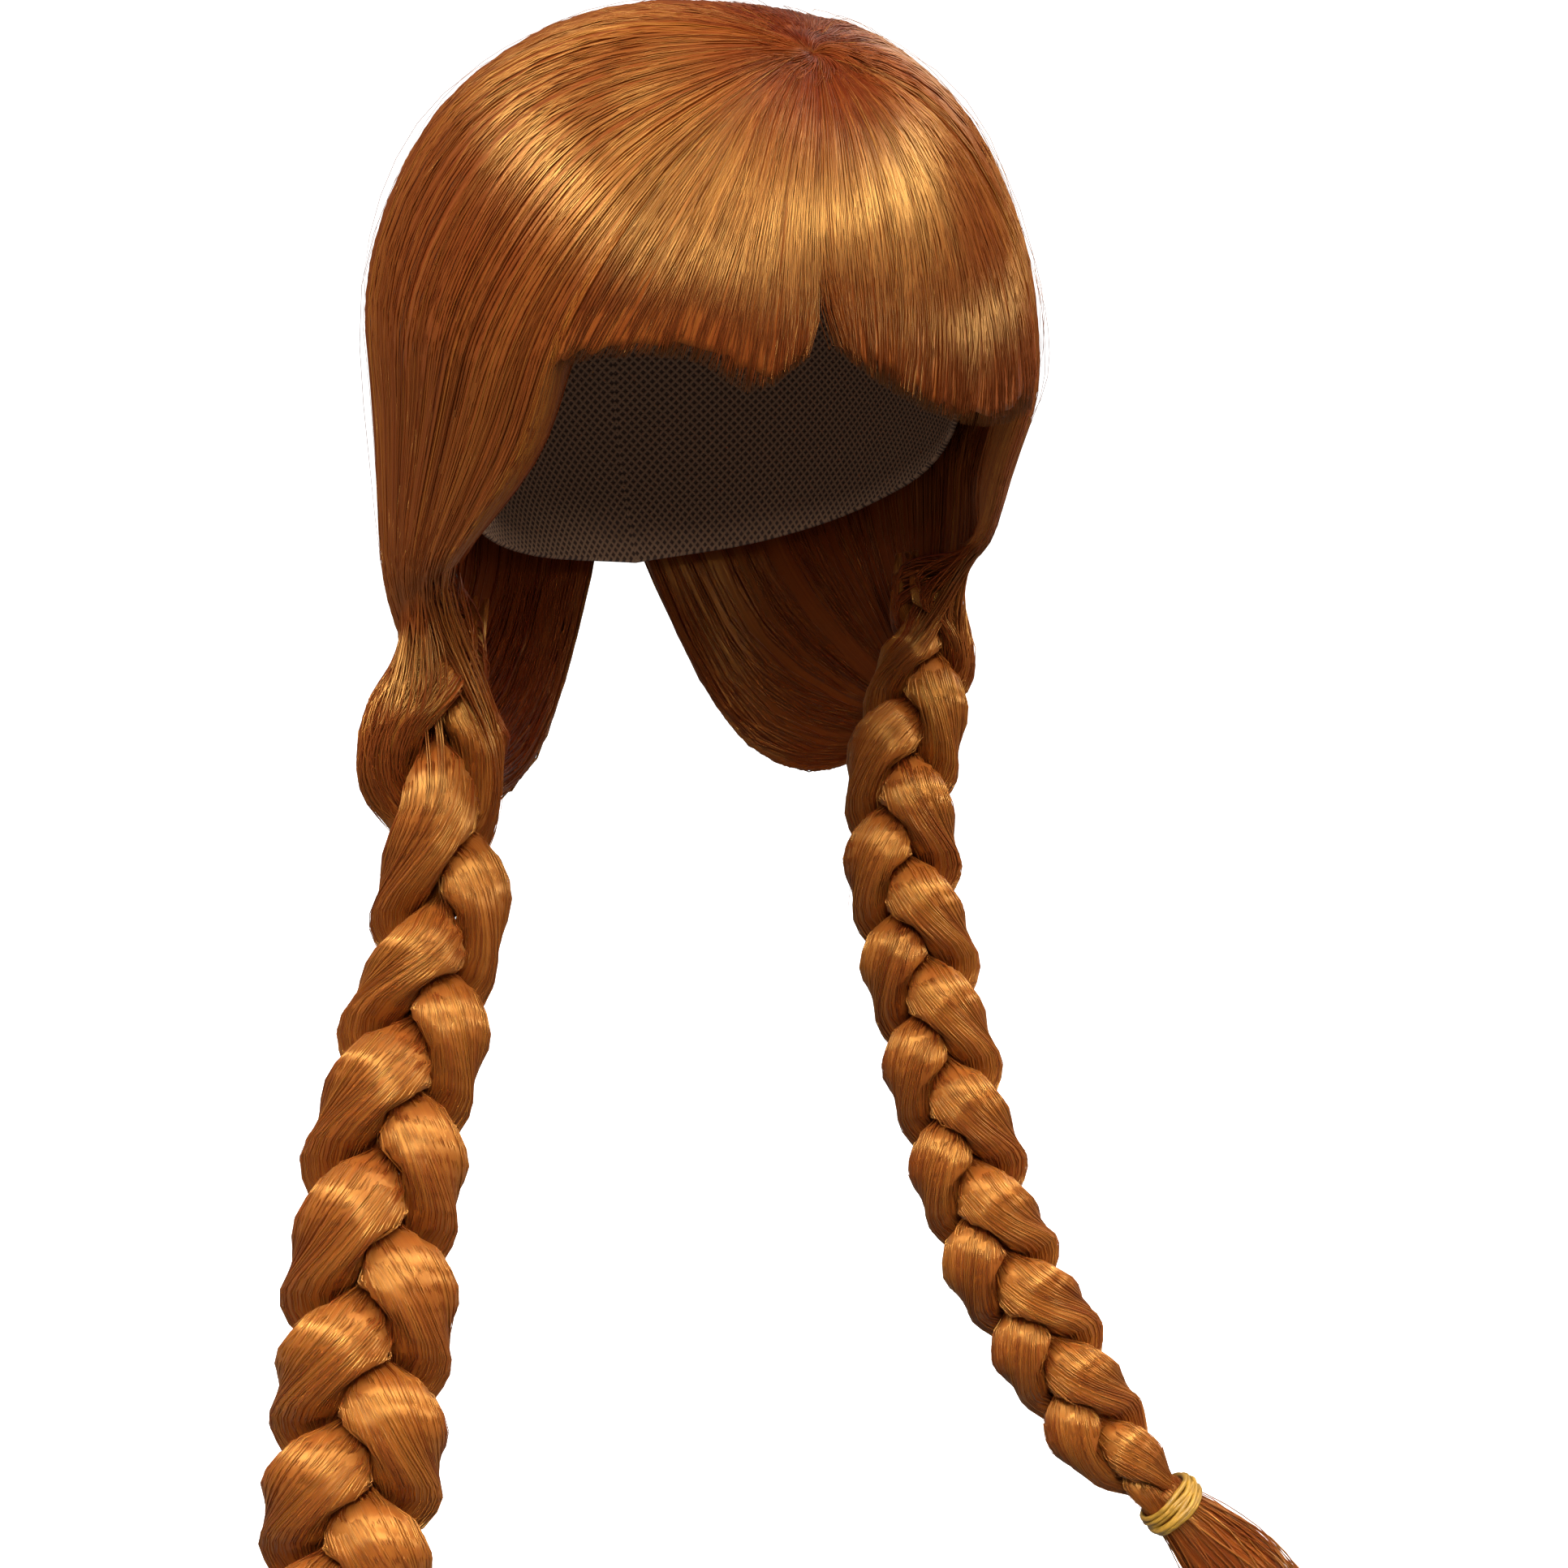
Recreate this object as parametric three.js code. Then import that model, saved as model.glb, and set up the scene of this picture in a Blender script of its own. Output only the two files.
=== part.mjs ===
// A pigtail wig at its real size, in millimetres: a fitted cap, two swept side panels of hair, a fringe,
// and two three-strand plaits, each bound with a wound elastic above a loose tail.
// +Z is up, the face side is -Y, the wearer's left is +X. The origin is the inside of the cap at the crown,
// where it sits on the top of the head.
import * as THREE from "three";

// ---- driving sizes -----------------------------------------------------------------------------
const HEAD_CENTRE = new THREE.Vector3(0, 0, -100); // all radial sizes below are measured from here
const CAP_WALL = 1.8; // stretch-net cap
const HAIR_CLEAR = 4.4; // hair panels start this far off the head
const SIDE_WALL = { root: 14, tip: 10 }; // depth of the hair in the side panels
const FRINGE_WALL = { root: 12, tip: 5 };
const SEAM = 0.35; // half-gap left between neighbouring panels
const SIDE_STEPS = 18; // along the hair, crown to gather
const FRINGE_SHARE = 12; // the fringe runs along this many of those steps
const SIDE_ACROSS = 11;
const FRINGE_ACROSS = 12;
const STRAND_SIDES = 9;
const STRAND_STEPS = 17; // rings of facets to one full weave
const STRAND_GAP = 0.35; // half-gap left between neighbouring strands
const BAND = { radius: 11.8, core: 9.7, turn: 1.5, turns: 3 };
const TAIL_LENGTH = 86;

// Head form: distance from the centre at each polar angle from the crown, towards side, front and back.
const HEAD = [
  { phi: 0, side: 100, front: 100, back: 100 },
  { phi: 15, side: 98, front: 99, back: 100.5 },
  { phi: 30, side: 93, front: 99, back: 100.5 },
  { phi: 45, side: 87.5, front: 97.5, back: 100 },
  { phi: 60, side: 83, front: 96.3, back: 99 },
  { phi: 75, side: 80.5, front: 95.3, back: 98.3 },
  { phi: 90, side: 79.5, front: 95, back: 98 },
  { phi: 105, side: 81, front: 97, back: 99.3 },
  { phi: 120, side: 86.5, front: 101, back: 101.5 },
  { phi: 135, side: 97, front: 110, back: 106 },
  { phi: 150, side: 122, front: 130, back: 122 },
  { phi: 165, side: 200, front: 200, back: 200 },
];
// Outside of the hair: how far it stands off that head form.
const HAIR = [
  { phi: 0, right: 11.5, left: 11.5, front: 12, back: 11.5 },
  { phi: 15, right: 15.5, left: 14.5, front: 12.5, back: 14 },
  { phi: 30, right: 21.5, left: 21.5, front: 13.5, back: 18 },
  { phi: 45, right: 27.5, left: 25, front: 14.5, back: 20 },
  { phi: 60, right: 29.5, left: 25, front: 15.5, back: 21 },
  { phi: 80, right: 29.5, left: 25, front: 17, back: 21 },
  { phi: 95, right: 27, left: 25, front: 15.5, back: 21 },
  { phi: 110, right: 29.5, left: 20.5, front: 13, back: 21 },
  { phi: 122, right: 35.5, left: 22, front: 12, back: 24 },
  { phi: 135, right: 43, left: 28, front: 12, back: 31 },
  { phi: 150, right: 46, left: 42, front: 12, back: 48 },
  { phi: 165, right: 30, left: 30, front: 12, back: 40 },
];
// Lower edge of the cap: polar angle at each azimuth from the front.
const CAP_RIM = [
  { az: 0, phi: 62 },
  { az: 35, phi: 66 },
  { az: 60, phi: 84 },
  { az: 85, phi: 112 },
  { az: 115, phi: 126 },
  { az: 145, phi: 133 },
  { az: 180, phi: 136 },
];
// How the hair lies: each row is one lock from the crown whorl to where it is gathered, as azimuth and polar angles.
const SWEEP_RIGHT = [
  { lock: "face edge", az: [20, -13, -30, -42, -52, -74], phi: [27, 40, 57, 78, 101, 121] },
  { lock: "temple", az: [20, -18, -40, -54, -65, -82], phi: [27, 37, 53, 75, 98, 124] },
  { lock: "over ear", az: [20, -22, -55, -67, -76, -90], phi: [27, 31, 46, 70, 96, 127] },
  { lock: "side", az: [20, -27, -78, -90, -92, -98], phi: [27, 21, 37, 63, 93, 130] },
  { lock: "behind ear", az: [20, -70, -112, -112, -110, -106], phi: [27, 12, 38, 68, 102, 134] },
  { lock: "back", az: [20, -145, -140, -142, -138, -112], phi: [27, 11, 48, 84, 120, 141] },
  { lock: "parting and nape", az: [20, 180, 180, 180, -158, -110], phi: [27, 14, 62, 110, 148, 149] },
];
const SWEEP_LEFT = [
  { lock: "face edge", az: [20, 47, 54, 58, 66, 80], phi: [27, 41, 65, 90, 110, 127] },
  { lock: "temple", az: [20, 54, 66, 70, 75, 86], phi: [27, 37, 58, 83, 106, 129] },
  { lock: "over ear", az: [20, 64, 78, 82, 84, 92], phi: [27, 31, 52, 76, 102, 131] },
  { lock: "side", az: [20, 84, 94, 95, 95, 99], phi: [27, 24, 44, 69, 98, 133] },
  { lock: "behind ear", az: [20, 112, 115, 113, 110, 106], phi: [27, 18, 42, 70, 103, 137] },
  { lock: "back", az: [20, 150, 142, 142, 138, 112], phi: [27, 14, 49, 84, 120, 143] },
  { lock: "parting and nape", az: [20, 180, 180, 180, 158, 110], phi: [27, 14, 62, 110, 148, 149] },
];
// Fringe locks between the two face edges, crown whorl to cut tip.
const FRINGE = [
  { lock: "right sweep", az: [20, -8, -20, -29, -37], phi: [27, 39, 53, 68, 83] },
  { lock: "right", az: [20, -3, -11, -17, -22], phi: [27, 40, 54, 68, 83] },
  { lock: "right of middle", az: [20, 3, -5, -9, -12], phi: [27, 41, 56, 72, 88] },
  { lock: "middle", az: [20, 9, 3, 0, -1], phi: [27, 40, 54, 68, 82] },
  { lock: "left of middle", az: [20, 15, 11, 9, 8], phi: [27, 41, 56, 72, 87] },
  { lock: "left", az: [20, 23, 22, 20, 19], phi: [27, 42, 60, 77, 93] },
  { lock: "left sweep", az: [20, 33, 36, 36, 35], phi: [27, 42, 62, 81, 97] },
];
// Plait routes, top to band: point on the centre line, azimuth that the plait's front faces, half-width, half-depth,
// and how many full weaves have passed there.
const PLAIT_RIGHT = [
  { x: -73, y: 13, z: -158, facing: 20, wide: 6, deep: 6, weave: -0.23 },
  { x: -76, y: 10, z: -176, facing: 22, wide: 8, deep: 7, weave: -0.117 },
  { x: -86, y: 3, z: -195, facing: 25, wide: 16.5, deep: 10.5, weave: 0.009 },
  { x: -93, y: -1, z: -213, facing: 26, wide: 23, deep: 14, weave: 0.123 },
  { x: -94, y: -11, z: -240, facing: 22, wide: 20, deep: 15.5, weave: 0.291 },
  { x: -98, y: -22, z: -275, facing: 4, wide: 19.5, deep: 16, weave: 0.556 },
  { x: -110, y: -32, z: -306, facing: -8, wide: 21.5, deep: 16.5, weave: 0.855 },
  { x: -123, y: -42, z: -345, facing: -6, wide: 24, deep: 17, weave: 1.2 },
  { x: -130, y: -50, z: -383, facing: -8, wide: 25.5, deep: 17.5, weave: 1.507 },
  { x: -136, y: -56, z: -420, facing: -18, wide: 26, deep: 17.5, weave: 1.82 },
  { x: -141.5, y: -60, z: -456, facing: -20, wide: 26, deep: 17.5, weave: 2.124 },
  { x: -146, y: -62.5, z: -486, facing: -18, wide: 22, deep: 15.5, weave: 2.372 },
  { x: -147, y: -63.5, z: -502, facing: -16, wide: 14, deep: 11.5, weave: 2.509 },
  { x: -147.5, y: -64, z: -512, facing: -16, wide: 7.3, deep: 7.3, weave: 2.6 },
  { x: -148, y: -64.5, z: -523, facing: -16, wide: 7.3, deep: 7.3, weave: 2.69 },
];
const PLAIT_LEFT = [
  { x: 71, y: 12, z: -158, facing: -14, wide: 5.5, deep: 6, weave: -0.098 },
  { x: 72.4, y: 9, z: -175, facing: -18, wide: 7.5, deep: 6.5, weave: 0.07 },
  { x: 78, y: 5, z: -194, facing: -24, wide: 12.5, deep: 10, weave: 0.248 },
  { x: 73, y: 2, z: -214, facing: -27, wide: 16, deep: 13, weave: 0.457 },
  { x: 64, y: -5, z: -240, facing: -29, wide: 17, deep: 14.5, weave: 0.722 },
  { x: 62, y: -13, z: -272, facing: -30, wide: 17.5, deep: 14.5, weave: 1.05 },
  { x: 66, y: -21, z: -304, facing: -31, wide: 17.5, deep: 14, weave: 1.382 },
  { x: 72, y: -32, z: -345, facing: -32, wide: 17.5, deep: 13.5, weave: 1.8 },
  { x: 81, y: -41, z: -384, facing: -32, wide: 17.5, deep: 13, weave: 2.214 },
  { x: 98, y: -48, z: -420, facing: -30, wide: 17.5, deep: 12.5, weave: 2.629 },
  { x: 114, y: -54.5, z: -450, facing: -28, wide: 15.5, deep: 12, weave: 2.979 },
  { x: 125, y: -58.5, z: -464, facing: -26, wide: 12.5, deep: 10.5, weave: 3.141 },
  { x: 134, y: -61, z: -474, facing: -25, wide: 7.3, deep: 7.3, weave: 3.253 },
  { x: 142, y: -63.5, z: -482, facing: -25, wide: 7.3, deep: 7.3, weave: 3.364 },
];
// Loose tail below the band: share of its length and half-width.
const TAIL_FORM = [
  { at: 0, radius: 8.6 },
  { at: 0.12, radius: 12 },
  { at: 0.35, radius: 16 },
  { at: 0.65, radius: 17 },
  { at: 0.88, radius: 14 },
  { at: 1, radius: 9 },
];

// ---- small maths -------------------------------------------------------------------------------
const rad = THREE.MathUtils.degToRad;
const clamp = THREE.MathUtils.clamp;

// Smooth curve through table rows; x must rise.
function through(xs, ys, x) {
  const n = xs.length;
  let i = 0;
  while (i < n - 2 && x >= xs[i + 1]) i++;
  const slope = (k) =>
    k === 0
      ? (ys[1] - ys[0]) / (xs[1] - xs[0])
      : k === n - 1
        ? (ys[n - 1] - ys[n - 2]) / (xs[n - 1] - xs[n - 2])
        : (ys[k + 1] - ys[k - 1]) / (xs[k + 1] - xs[k - 1]);
  const h = xs[i + 1] - xs[i];
  const t = (x - xs[i]) / h;
  return (
    (2 * t ** 3 - 3 * t ** 2 + 1) * ys[i] +
    (t ** 3 - 2 * t ** 2 + t) * h * slope(i) +
    (3 * t ** 2 - 2 * t ** 3) * ys[i + 1] +
    (t ** 3 - t ** 2) * h * slope(i + 1)
  );
}
const column = (table, name) => table.map((row) => row[name]);
const PHI = column(HEAD, "phi");
const HAIR_PHI = column(HAIR, "phi");

function direction(az, phi) {
  const a = rad(az),
    p = rad(phi);
  return new THREE.Vector3(Math.sin(p) * Math.sin(a), -Math.sin(p) * Math.cos(a), Math.cos(p));
}
function headRadius(d) {
  const phi = THREE.MathUtils.radToDeg(Math.acos(clamp(d.z, -1, 1)));
  const flat = Math.hypot(d.x, d.y) + 1e-9;
  const across = (d.x / flat) ** 2;
  const s = through(PHI, column(HEAD, "side"), phi);
  const f = through(PHI, column(HEAD, d.y < 0 ? "front" : "back"), phi);
  return 1 / Math.sqrt(across / s ** 2 + (1 - across) / f ** 2);
}
function hairHeight(d) {
  const phi = THREE.MathUtils.radToDeg(Math.acos(clamp(d.z, -1, 1)));
  const flat = Math.hypot(d.x, d.y) + 1e-9;
  const across = (d.x / flat) ** 2;
  const s = through(HAIR_PHI, column(HAIR, d.x < 0 ? "right" : "left"), phi);
  const f = through(HAIR_PHI, column(HAIR, d.y < 0 ? "front" : "back"), phi);
  return s * across + f * (1 - across);
}
const onHead = (d, height) => HEAD_CENTRE.clone().addScaledVector(d, headRadius(d) + height);

// Catmull-Rom through directions; t runs from 0 to the last row.
function sweepAt(rows, t) {
  const i = clamp(Math.floor(t), 0, rows.length - 2);
  const f = t - i;
  const at = (k) => rows[clamp(k, 0, rows.length - 1)];
  const [a, b, c, d] = [at(i - 1), at(i), at(i + 1), at(i + 2)];
  return new THREE.Vector3()
    .addScaledVector(a, -0.5 * f ** 3 + f ** 2 - 0.5 * f)
    .addScaledVector(b, 1.5 * f ** 3 - 2.5 * f ** 2 + 1)
    .addScaledVector(c, -1.5 * f ** 3 + 2 * f ** 2 + 0.5 * f)
    .addScaledVector(d, 0.5 * f ** 3 - 0.5 * f ** 2)
    .normalize();
}
const lockRows = (lock) => lock.az.map((a, i) => direction(a, lock.phi[i]));

// A closed wall between two grids of points that match, given as functions of row and column.
function wall(nu, nv, outside, inside) {
  const points = [],
    faces = [];
  const id = (side, i, j) => side * (nu + 1) * (nv + 1) + i * (nv + 1) + j;
  for (const f of [outside, inside])
    for (let i = 0; i <= nu; i++)
      for (let j = 0; j <= nv; j++) points.push(...f(i, j).toArray());
  const quad = (a, b, c, d) => faces.push(a, b, c, a, c, d);
  for (let i = 0; i < nu; i++)
    for (let j = 0; j < nv; j++) {
      quad(id(0, i, j), id(0, i + 1, j), id(0, i + 1, j + 1), id(0, i, j + 1));
      quad(id(1, i, j), id(1, i, j + 1), id(1, i + 1, j + 1), id(1, i + 1, j));
    }
  for (let i = 0; i < nu; i++) {
    quad(id(0, i, 0), id(1, i, 0), id(1, i + 1, 0), id(0, i + 1, 0));
    quad(id(0, i, nv), id(0, i + 1, nv), id(1, i + 1, nv), id(1, i, nv));
  }
  for (let j = 0; j < nv; j++) {
    quad(id(0, 0, j), id(0, 0, j + 1), id(1, 0, j + 1), id(1, 0, j));
    quad(id(0, nu, j), id(1, nu, j), id(1, nu, j + 1), id(0, nu, j + 1));
  }
  return facingOut(points, faces);
}
// Rings of points joined into a closed tube with flat ends.
function tube(rings) {
  const n = rings[0].length;
  const points = rings.flat().flatMap((p) => p.toArray());
  const faces = [];
  for (let i = 0; i < rings.length - 1; i++)
    for (let j = 0; j < n; j++) {
      const a = i * n + j,
        b = i * n + ((j + 1) % n);
      faces.push(a, b, b + n, a, b + n, a + n);
    }
  const last = (rings.length - 1) * n;
  for (let j = 1; j < n - 1; j++) {
    faces.push(0, j + 1, j);
    faces.push(last, last + j, last + j + 1);
  }
  return facingOut(points, faces);
}
function facingOut(points, faces) {
  let volume = 0;
  const p = (k) => new THREE.Vector3(points[3 * k], points[3 * k + 1], points[3 * k + 2]);
  for (let k = 0; k < faces.length; k += 3)
    volume += p(faces[k]).dot(p(faces[k + 1]).cross(p(faces[k + 2])));
  if (volume < 0) for (let k = 0; k < faces.length; k += 3) [faces[k], faces[k + 1]] = [faces[k + 1], faces[k]];
  const g = new THREE.BufferGeometry();
  g.setAttribute("position", new THREE.Float32BufferAttribute(points, 3));
  g.setIndex(faces);
  g.computeVertexNormals();
  return g;
}

// ---- cap ---------------------------------------------------------------------------------------
function capGeometry() {
  const around = 26,
    down = 10;
  const az = column(CAP_RIM, "az"),
    phi = column(CAP_RIM, "phi");
  const rim = (a) => through(az, phi, Math.abs(a));
  const ringPoint = (k, j, height) => {
    const a = -180 + (360 * j) / around;
    return onHead(direction(a, rim(a) * (k / down)), height);
  };
  const rows = [];
  const rings = (height, order) => order.forEach((k) => rows.push([...Array(around).keys()].map((j) => ringPoint(k, j, height))));
  const downwards = [...Array(down).keys()].map((k) => k + 1);
  rings(CAP_WALL, downwards);
  rings(0, [...downwards].reverse());
  const points = rows.flat().flatMap((q) => q.toArray());
  const faces = [];
  for (let i = 0; i < rows.length - 1; i++)
    for (let j = 0; j < around; j++) {
      const a = i * around + j,
        b = i * around + ((j + 1) % around);
      faces.push(a, b, b + around, a, b + around, a + around);
    }
  const top = points.length / 3;
  points.push(...onHead(direction(0, 0), CAP_WALL).toArray(), ...onHead(direction(0, 0), 0).toArray());
  const last = (rows.length - 1) * around;
  for (let j = 0; j < around; j++) {
    faces.push(top, (j + 1) % around, j);
    faces.push(top + 1, last + j, last + ((j + 1) % around));
  }
  return facingOut(points, faces);
}

// ---- side panels and fringe --------------------------------------------------------------------
// A panel is woven from its locks: u runs down the hair, v across it.
function panelPoint(locks, u, v, height) {
  const across = locks.map((rows) => sweepAt(rows, u * (rows.length - 1)));
  const d = sweepAt(across, v * (across.length - 1));
  return onHead(d, height(d, u));
}
function panelWidth(locks, u) {
  let width = 0;
  for (let k = 0; k < 12; k++)
    width += panelPoint(locks, u, k / 12, () => 5).distanceTo(panelPoint(locks, u, (k + 1) / 12, () => 5));
  return width;
}
function panel(locks, first, last, steps, across, outer, inner, keep) {
  const seams = [];
  const at = (i, j, height) => {
    const u = i ? (last * i) / steps : first;
    seams[i] ??= SEAM / panelWidth(locks, u);
    const v = seams[i] + (1 - 2 * seams[i]) * (j / across);
    return keep(panelPoint(locks, u, v, height));
  };
  return wall(
    steps,
    across,
    (i, j) => at(i, j, outer),
    (i, j) => at(i, j, inner),
  );
}
const sideOuter = (d) => hairHeight(d);
const sideInner = (d, u) => Math.max(HAIR_CLEAR, hairHeight(d) - THREE.MathUtils.lerp(SIDE_WALL.root, SIDE_WALL.tip, u * u));
const START = 0.016; // the crown whorl is left open this far along

function sidePanel(table, sign) {
  const locks = table.map(lockRows);
  // the two panels meet along the parting at the back
  const keep = (p) => {
    if (p.y > 12 && p.x * sign < SEAM) p.x = SEAM * sign;
    return p;
  };
  return panel(locks, START, 1, SIDE_STEPS, SIDE_ACROSS, sideOuter, sideInner, keep);
}
function fringePanel() {
  const share = FRINGE_SHARE / SIDE_STEPS;
  // the outer locks follow the side panels' face edges, cut short
  const edge = (table) => {
    const rows = lockRows(table[0]);
    return [...Array(FRINGE_SHARE + 1).keys()].map((k) => sweepAt(rows, (k / SIDE_STEPS) * (rows.length - 1)));
  };
  const even = (lock) => {
    const rows = lockRows(lock);
    return [...Array(FRINGE_SHARE + 1).keys()].map((k) => sweepAt(rows, (k / FRINGE_SHARE) * (rows.length - 1)));
  };
  const locks = [edge(SWEEP_RIGHT), ...FRINGE.map(even), edge(SWEEP_LEFT)];
  const depth = (u) => THREE.MathUtils.lerp(FRINGE_WALL.root, FRINGE_WALL.tip, u);
  return panel(
    locks,
    START / share,
    1,
    FRINGE_SHARE,
    FRINGE_ACROSS,
    sideOuter,
    (d, u) => Math.max(HAIR_CLEAR, hairHeight(d) - depth(u)),
    (p) => p,
  );
}

// ---- plaits ------------------------------------------------------------------------------------
function plaitRoute(table) {
  const curve = new THREE.CatmullRomCurve3(
    table.map((r) => new THREE.Vector3(r.x, r.y, r.z)),
    false,
    "centripetal",
  );
  curve.arcLengthDivisions = 600;
  const length = curve.getLength();
  // share of the length at each row of the table
  const at = table.map((_, i) => {
    const t = i / (table.length - 1);
    const lengths = curve.getLengths();
    return lengths[Math.round(t * 600)] / length;
  });
  const frame = (share) => {
    const c = curve.getPointAt(share);
    const along = curve.getTangentAt(share);
    const facing = rad(through(at, column(table, "facing"), share));
    const out = new THREE.Vector3(Math.sin(facing), -Math.cos(facing), 0);
    out.addScaledVector(along, -out.dot(along)).normalize();
    const right = new THREE.Vector3().crossVectors(out, along);
    return {
      c,
      along,
      out,
      right,
      wide: through(at, column(table, "wide"), share),
      deep: through(at, column(table, "deep"), share),
      weave: through(at, column(table, "weave"), share),
    };
  };
  return { length, frame };
}
// Section of one strand across the plait: its own oval, flattened where it meets the other two,
// here and half a facet before and after, so that the facets between two rings stay clear as well.
function strandSection(phase, strand, wide, deep) {
  const centre = (k, f) => {
    const g = f + (2 * Math.PI * k) / 3;
    return { f: g, x: 0.47 * wide * Math.sin(g), y: 0.48 * deep * Math.sin(2 * g) };
  };
  const me = centre(strand, phase);
  const p = 0.7 * wide,
    q = 0.52 * wide;
  const turn = rad(-90 + 125 * Math.cos(me.f));
  const planes = [];
  for (const k of [1, 2])
    for (const shift of [-0.5, 0, 0.5]) {
      const f = phase + (2 * Math.PI * shift) / STRAND_STEPS;
      const a = centre(strand, f),
        b = centre((strand + k) % 3, f);
      const apart = Math.hypot(b.x - a.x, b.y - a.y);
      const n = { x: (b.x - a.x) / apart, y: (b.y - a.y) / apart };
      const room = ((a.x + b.x) / 2 - me.x) * n.x + ((a.y + b.y) / 2 - me.y) * n.y - STRAND_GAP;
      planes.push({ n, room: Math.max(0.5, room) });
    }
  const points = [];
  for (let k = 0; k < STRAND_SIDES; k++) {
    const theta = (2 * Math.PI * k) / STRAND_SIDES;
    const own = theta - turn;
    const limits = [(p * q) / Math.hypot(q * Math.cos(own), p * Math.sin(own))];
    for (const { n, room } of planes) {
      const towards = Math.cos(theta) * n.x + Math.sin(theta) * n.y;
      if (towards > 0.02) limits.push(room / towards);
    }
    const r = limits.reduce((sum, l) => sum + l ** -16, 0) ** (-1 / 16);
    points.push([me.x + r * Math.cos(theta), me.y + r * Math.sin(theta)]);
  }
  return points;
}
function strand(table, k) {
  const { frame } = plaitRoute(table);
  // rings follow the weave, so that they are closer together where it is tighter
  const fine = [...Array(401).keys()].map((i) => frame(i / 400).weave);
  const whole = fine[400] - fine[0];
  const steps = Math.round(whole * STRAND_STEPS);
  const rings = [];
  for (let i = 0, j = 0; i <= steps; i++) {
    const weave = fine[0] + (whole * i) / steps;
    while (j < 399 && fine[j + 1] < weave) j++;
    const f = frame(Math.min(1, (j + (weave - fine[j]) / (fine[j + 1] - fine[j])) / 400));
    rings.push(
      strandSection(2 * Math.PI * weave, k, f.wide, f.deep).map(([x, y]) =>
        f.c.clone().addScaledVector(f.right, x).addScaledVector(f.out, y),
      ),
    );
  }
  return tube(rings);
}

// ---- bands and tails ---------------------------------------------------------------------------
// A wound elastic: a ring whose outside shows its turns, closed on itself as a lathe profile.
function bandGeometry() {
  const profile = [];
  const height = BAND.turns * BAND.turn * 2;
  const rise = BAND.radius - BAND.core - BAND.turn * 0.5;
  for (let t = 0; t < BAND.turns; t++)
    for (const a of [-1, 0, 1])
      profile.push(
        new THREE.Vector2(
          BAND.core + rise + (a === 0 ? BAND.turn * 0.5 : 0),
          -height / 2 + BAND.turn * (2 * t + 1 + a * 0.9),
        ),
      );
  profile.push(new THREE.Vector2(BAND.core, height / 2 - 0.2), new THREE.Vector2(BAND.core, -height / 2 + 0.2));
  profile.push(profile[0].clone());
  return new THREE.LatheGeometry(profile, 16);
}
function endFrame(table) {
  const { length, frame } = plaitRoute(table);
  return { ...frame(1), length };
}
function tailGeometry(table, fall) {
  const { c, along, right, out } = endFrame(table);
  const start = c.clone().addScaledVector(along, BAND.turns * BAND.turn + 0.9 - BAND_LIFT);
  const path = new THREE.QuadraticBezierCurve3(
    start,
    start.clone().addScaledVector(along, TAIL_LENGTH * 0.5),
    start.clone().addScaledVector(along, TAIL_LENGTH * 0.5).addScaledVector(fall, TAIL_LENGTH * 0.5),
  );
  const rings = [];
  const steps = 11;
  for (let i = 0; i <= steps; i++) {
    const s = i / steps;
    const p = path.getPointAt(s),
      t = path.getTangentAt(s);
    const a = right.clone().addScaledVector(t, -right.dot(t)).normalize();
    const b = new THREE.Vector3().crossVectors(t, a);
    const r = through(column(TAIL_FORM, "at"), column(TAIL_FORM, "radius"), s);
    rings.push(
      [...Array(12).keys()].map((k) => {
        const w = (2 * Math.PI * k) / 12;
        return p
          .clone()
          .addScaledVector(a, r * Math.cos(w))
          .addScaledVector(b, r * 0.8 * Math.sin(w));
      }),
    );
  }
  return tube(rings);
}
const BAND_LIFT = 5; // the band sits this far above the end of the plait

// ---- assembly ----------------------------------------------------------------------------------
const copper = new THREE.MeshStandardMaterial({ name: "hair", color: 0xb4662a, roughness: 0.36, metalness: 0.25 });
const net = new THREE.MeshStandardMaterial({ name: "cap_net", color: 0x4a2413, roughness: 0.85, metalness: 0 });
const elastic = new THREE.MeshStandardMaterial({ name: "elastic", color: 0xc79a3c, roughness: 0.55, metalness: 0 });

function add(group, name, geometry, material) {
  const mesh = new THREE.Mesh(geometry, material);
  mesh.name = name;
  group.add(mesh);
  return mesh;
}

const wig = new THREE.Group();
wig.name = "pigtail_wig";
add(wig, "wig_cap", capGeometry(), net);
add(wig, "right_side_hair", sidePanel(SWEEP_RIGHT, -1), copper);
add(wig, "left_side_hair", sidePanel(SWEEP_LEFT, 1), copper);
add(wig, "fringe", fringePanel(), copper);

for (const side of [
  { name: "right", table: PLAIT_RIGHT, fall: new THREE.Vector3(-0.04, -0.02, -1) },
  { name: "left", table: PLAIT_LEFT, fall: new THREE.Vector3(0.42, -0.06, -0.9) },
]) {
  const plait = new THREE.Group();
  plait.name = side.name + "_plait";
  ["a", "b", "c"].forEach((letter, k) =>
    add(plait, `${side.name}_plait_strand_${letter}`, strand(side.table, k), copper),
  );
  const end = endFrame(side.table);
  const band = add(plait, `${side.name}_elastic_band`, bandGeometry(), elastic);
  band.position.copy(end.c).addScaledVector(end.along, -BAND_LIFT);
  band.quaternion.setFromUnitVectors(new THREE.Vector3(0, 1, 0), end.along.clone().negate());
  add(plait, `${side.name}_tail`, tailGeometry(side.table, side.fall.normalize()), copper);
  wig.add(plait);
}

export default wig;
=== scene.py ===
"""Looks of the pigtail wig: every lock is laid with tapered fibres over a smooth body of hair.
Lengths are worked in millimetres in the part's own frame and become metres when a mesh is made."""

import math

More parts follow.
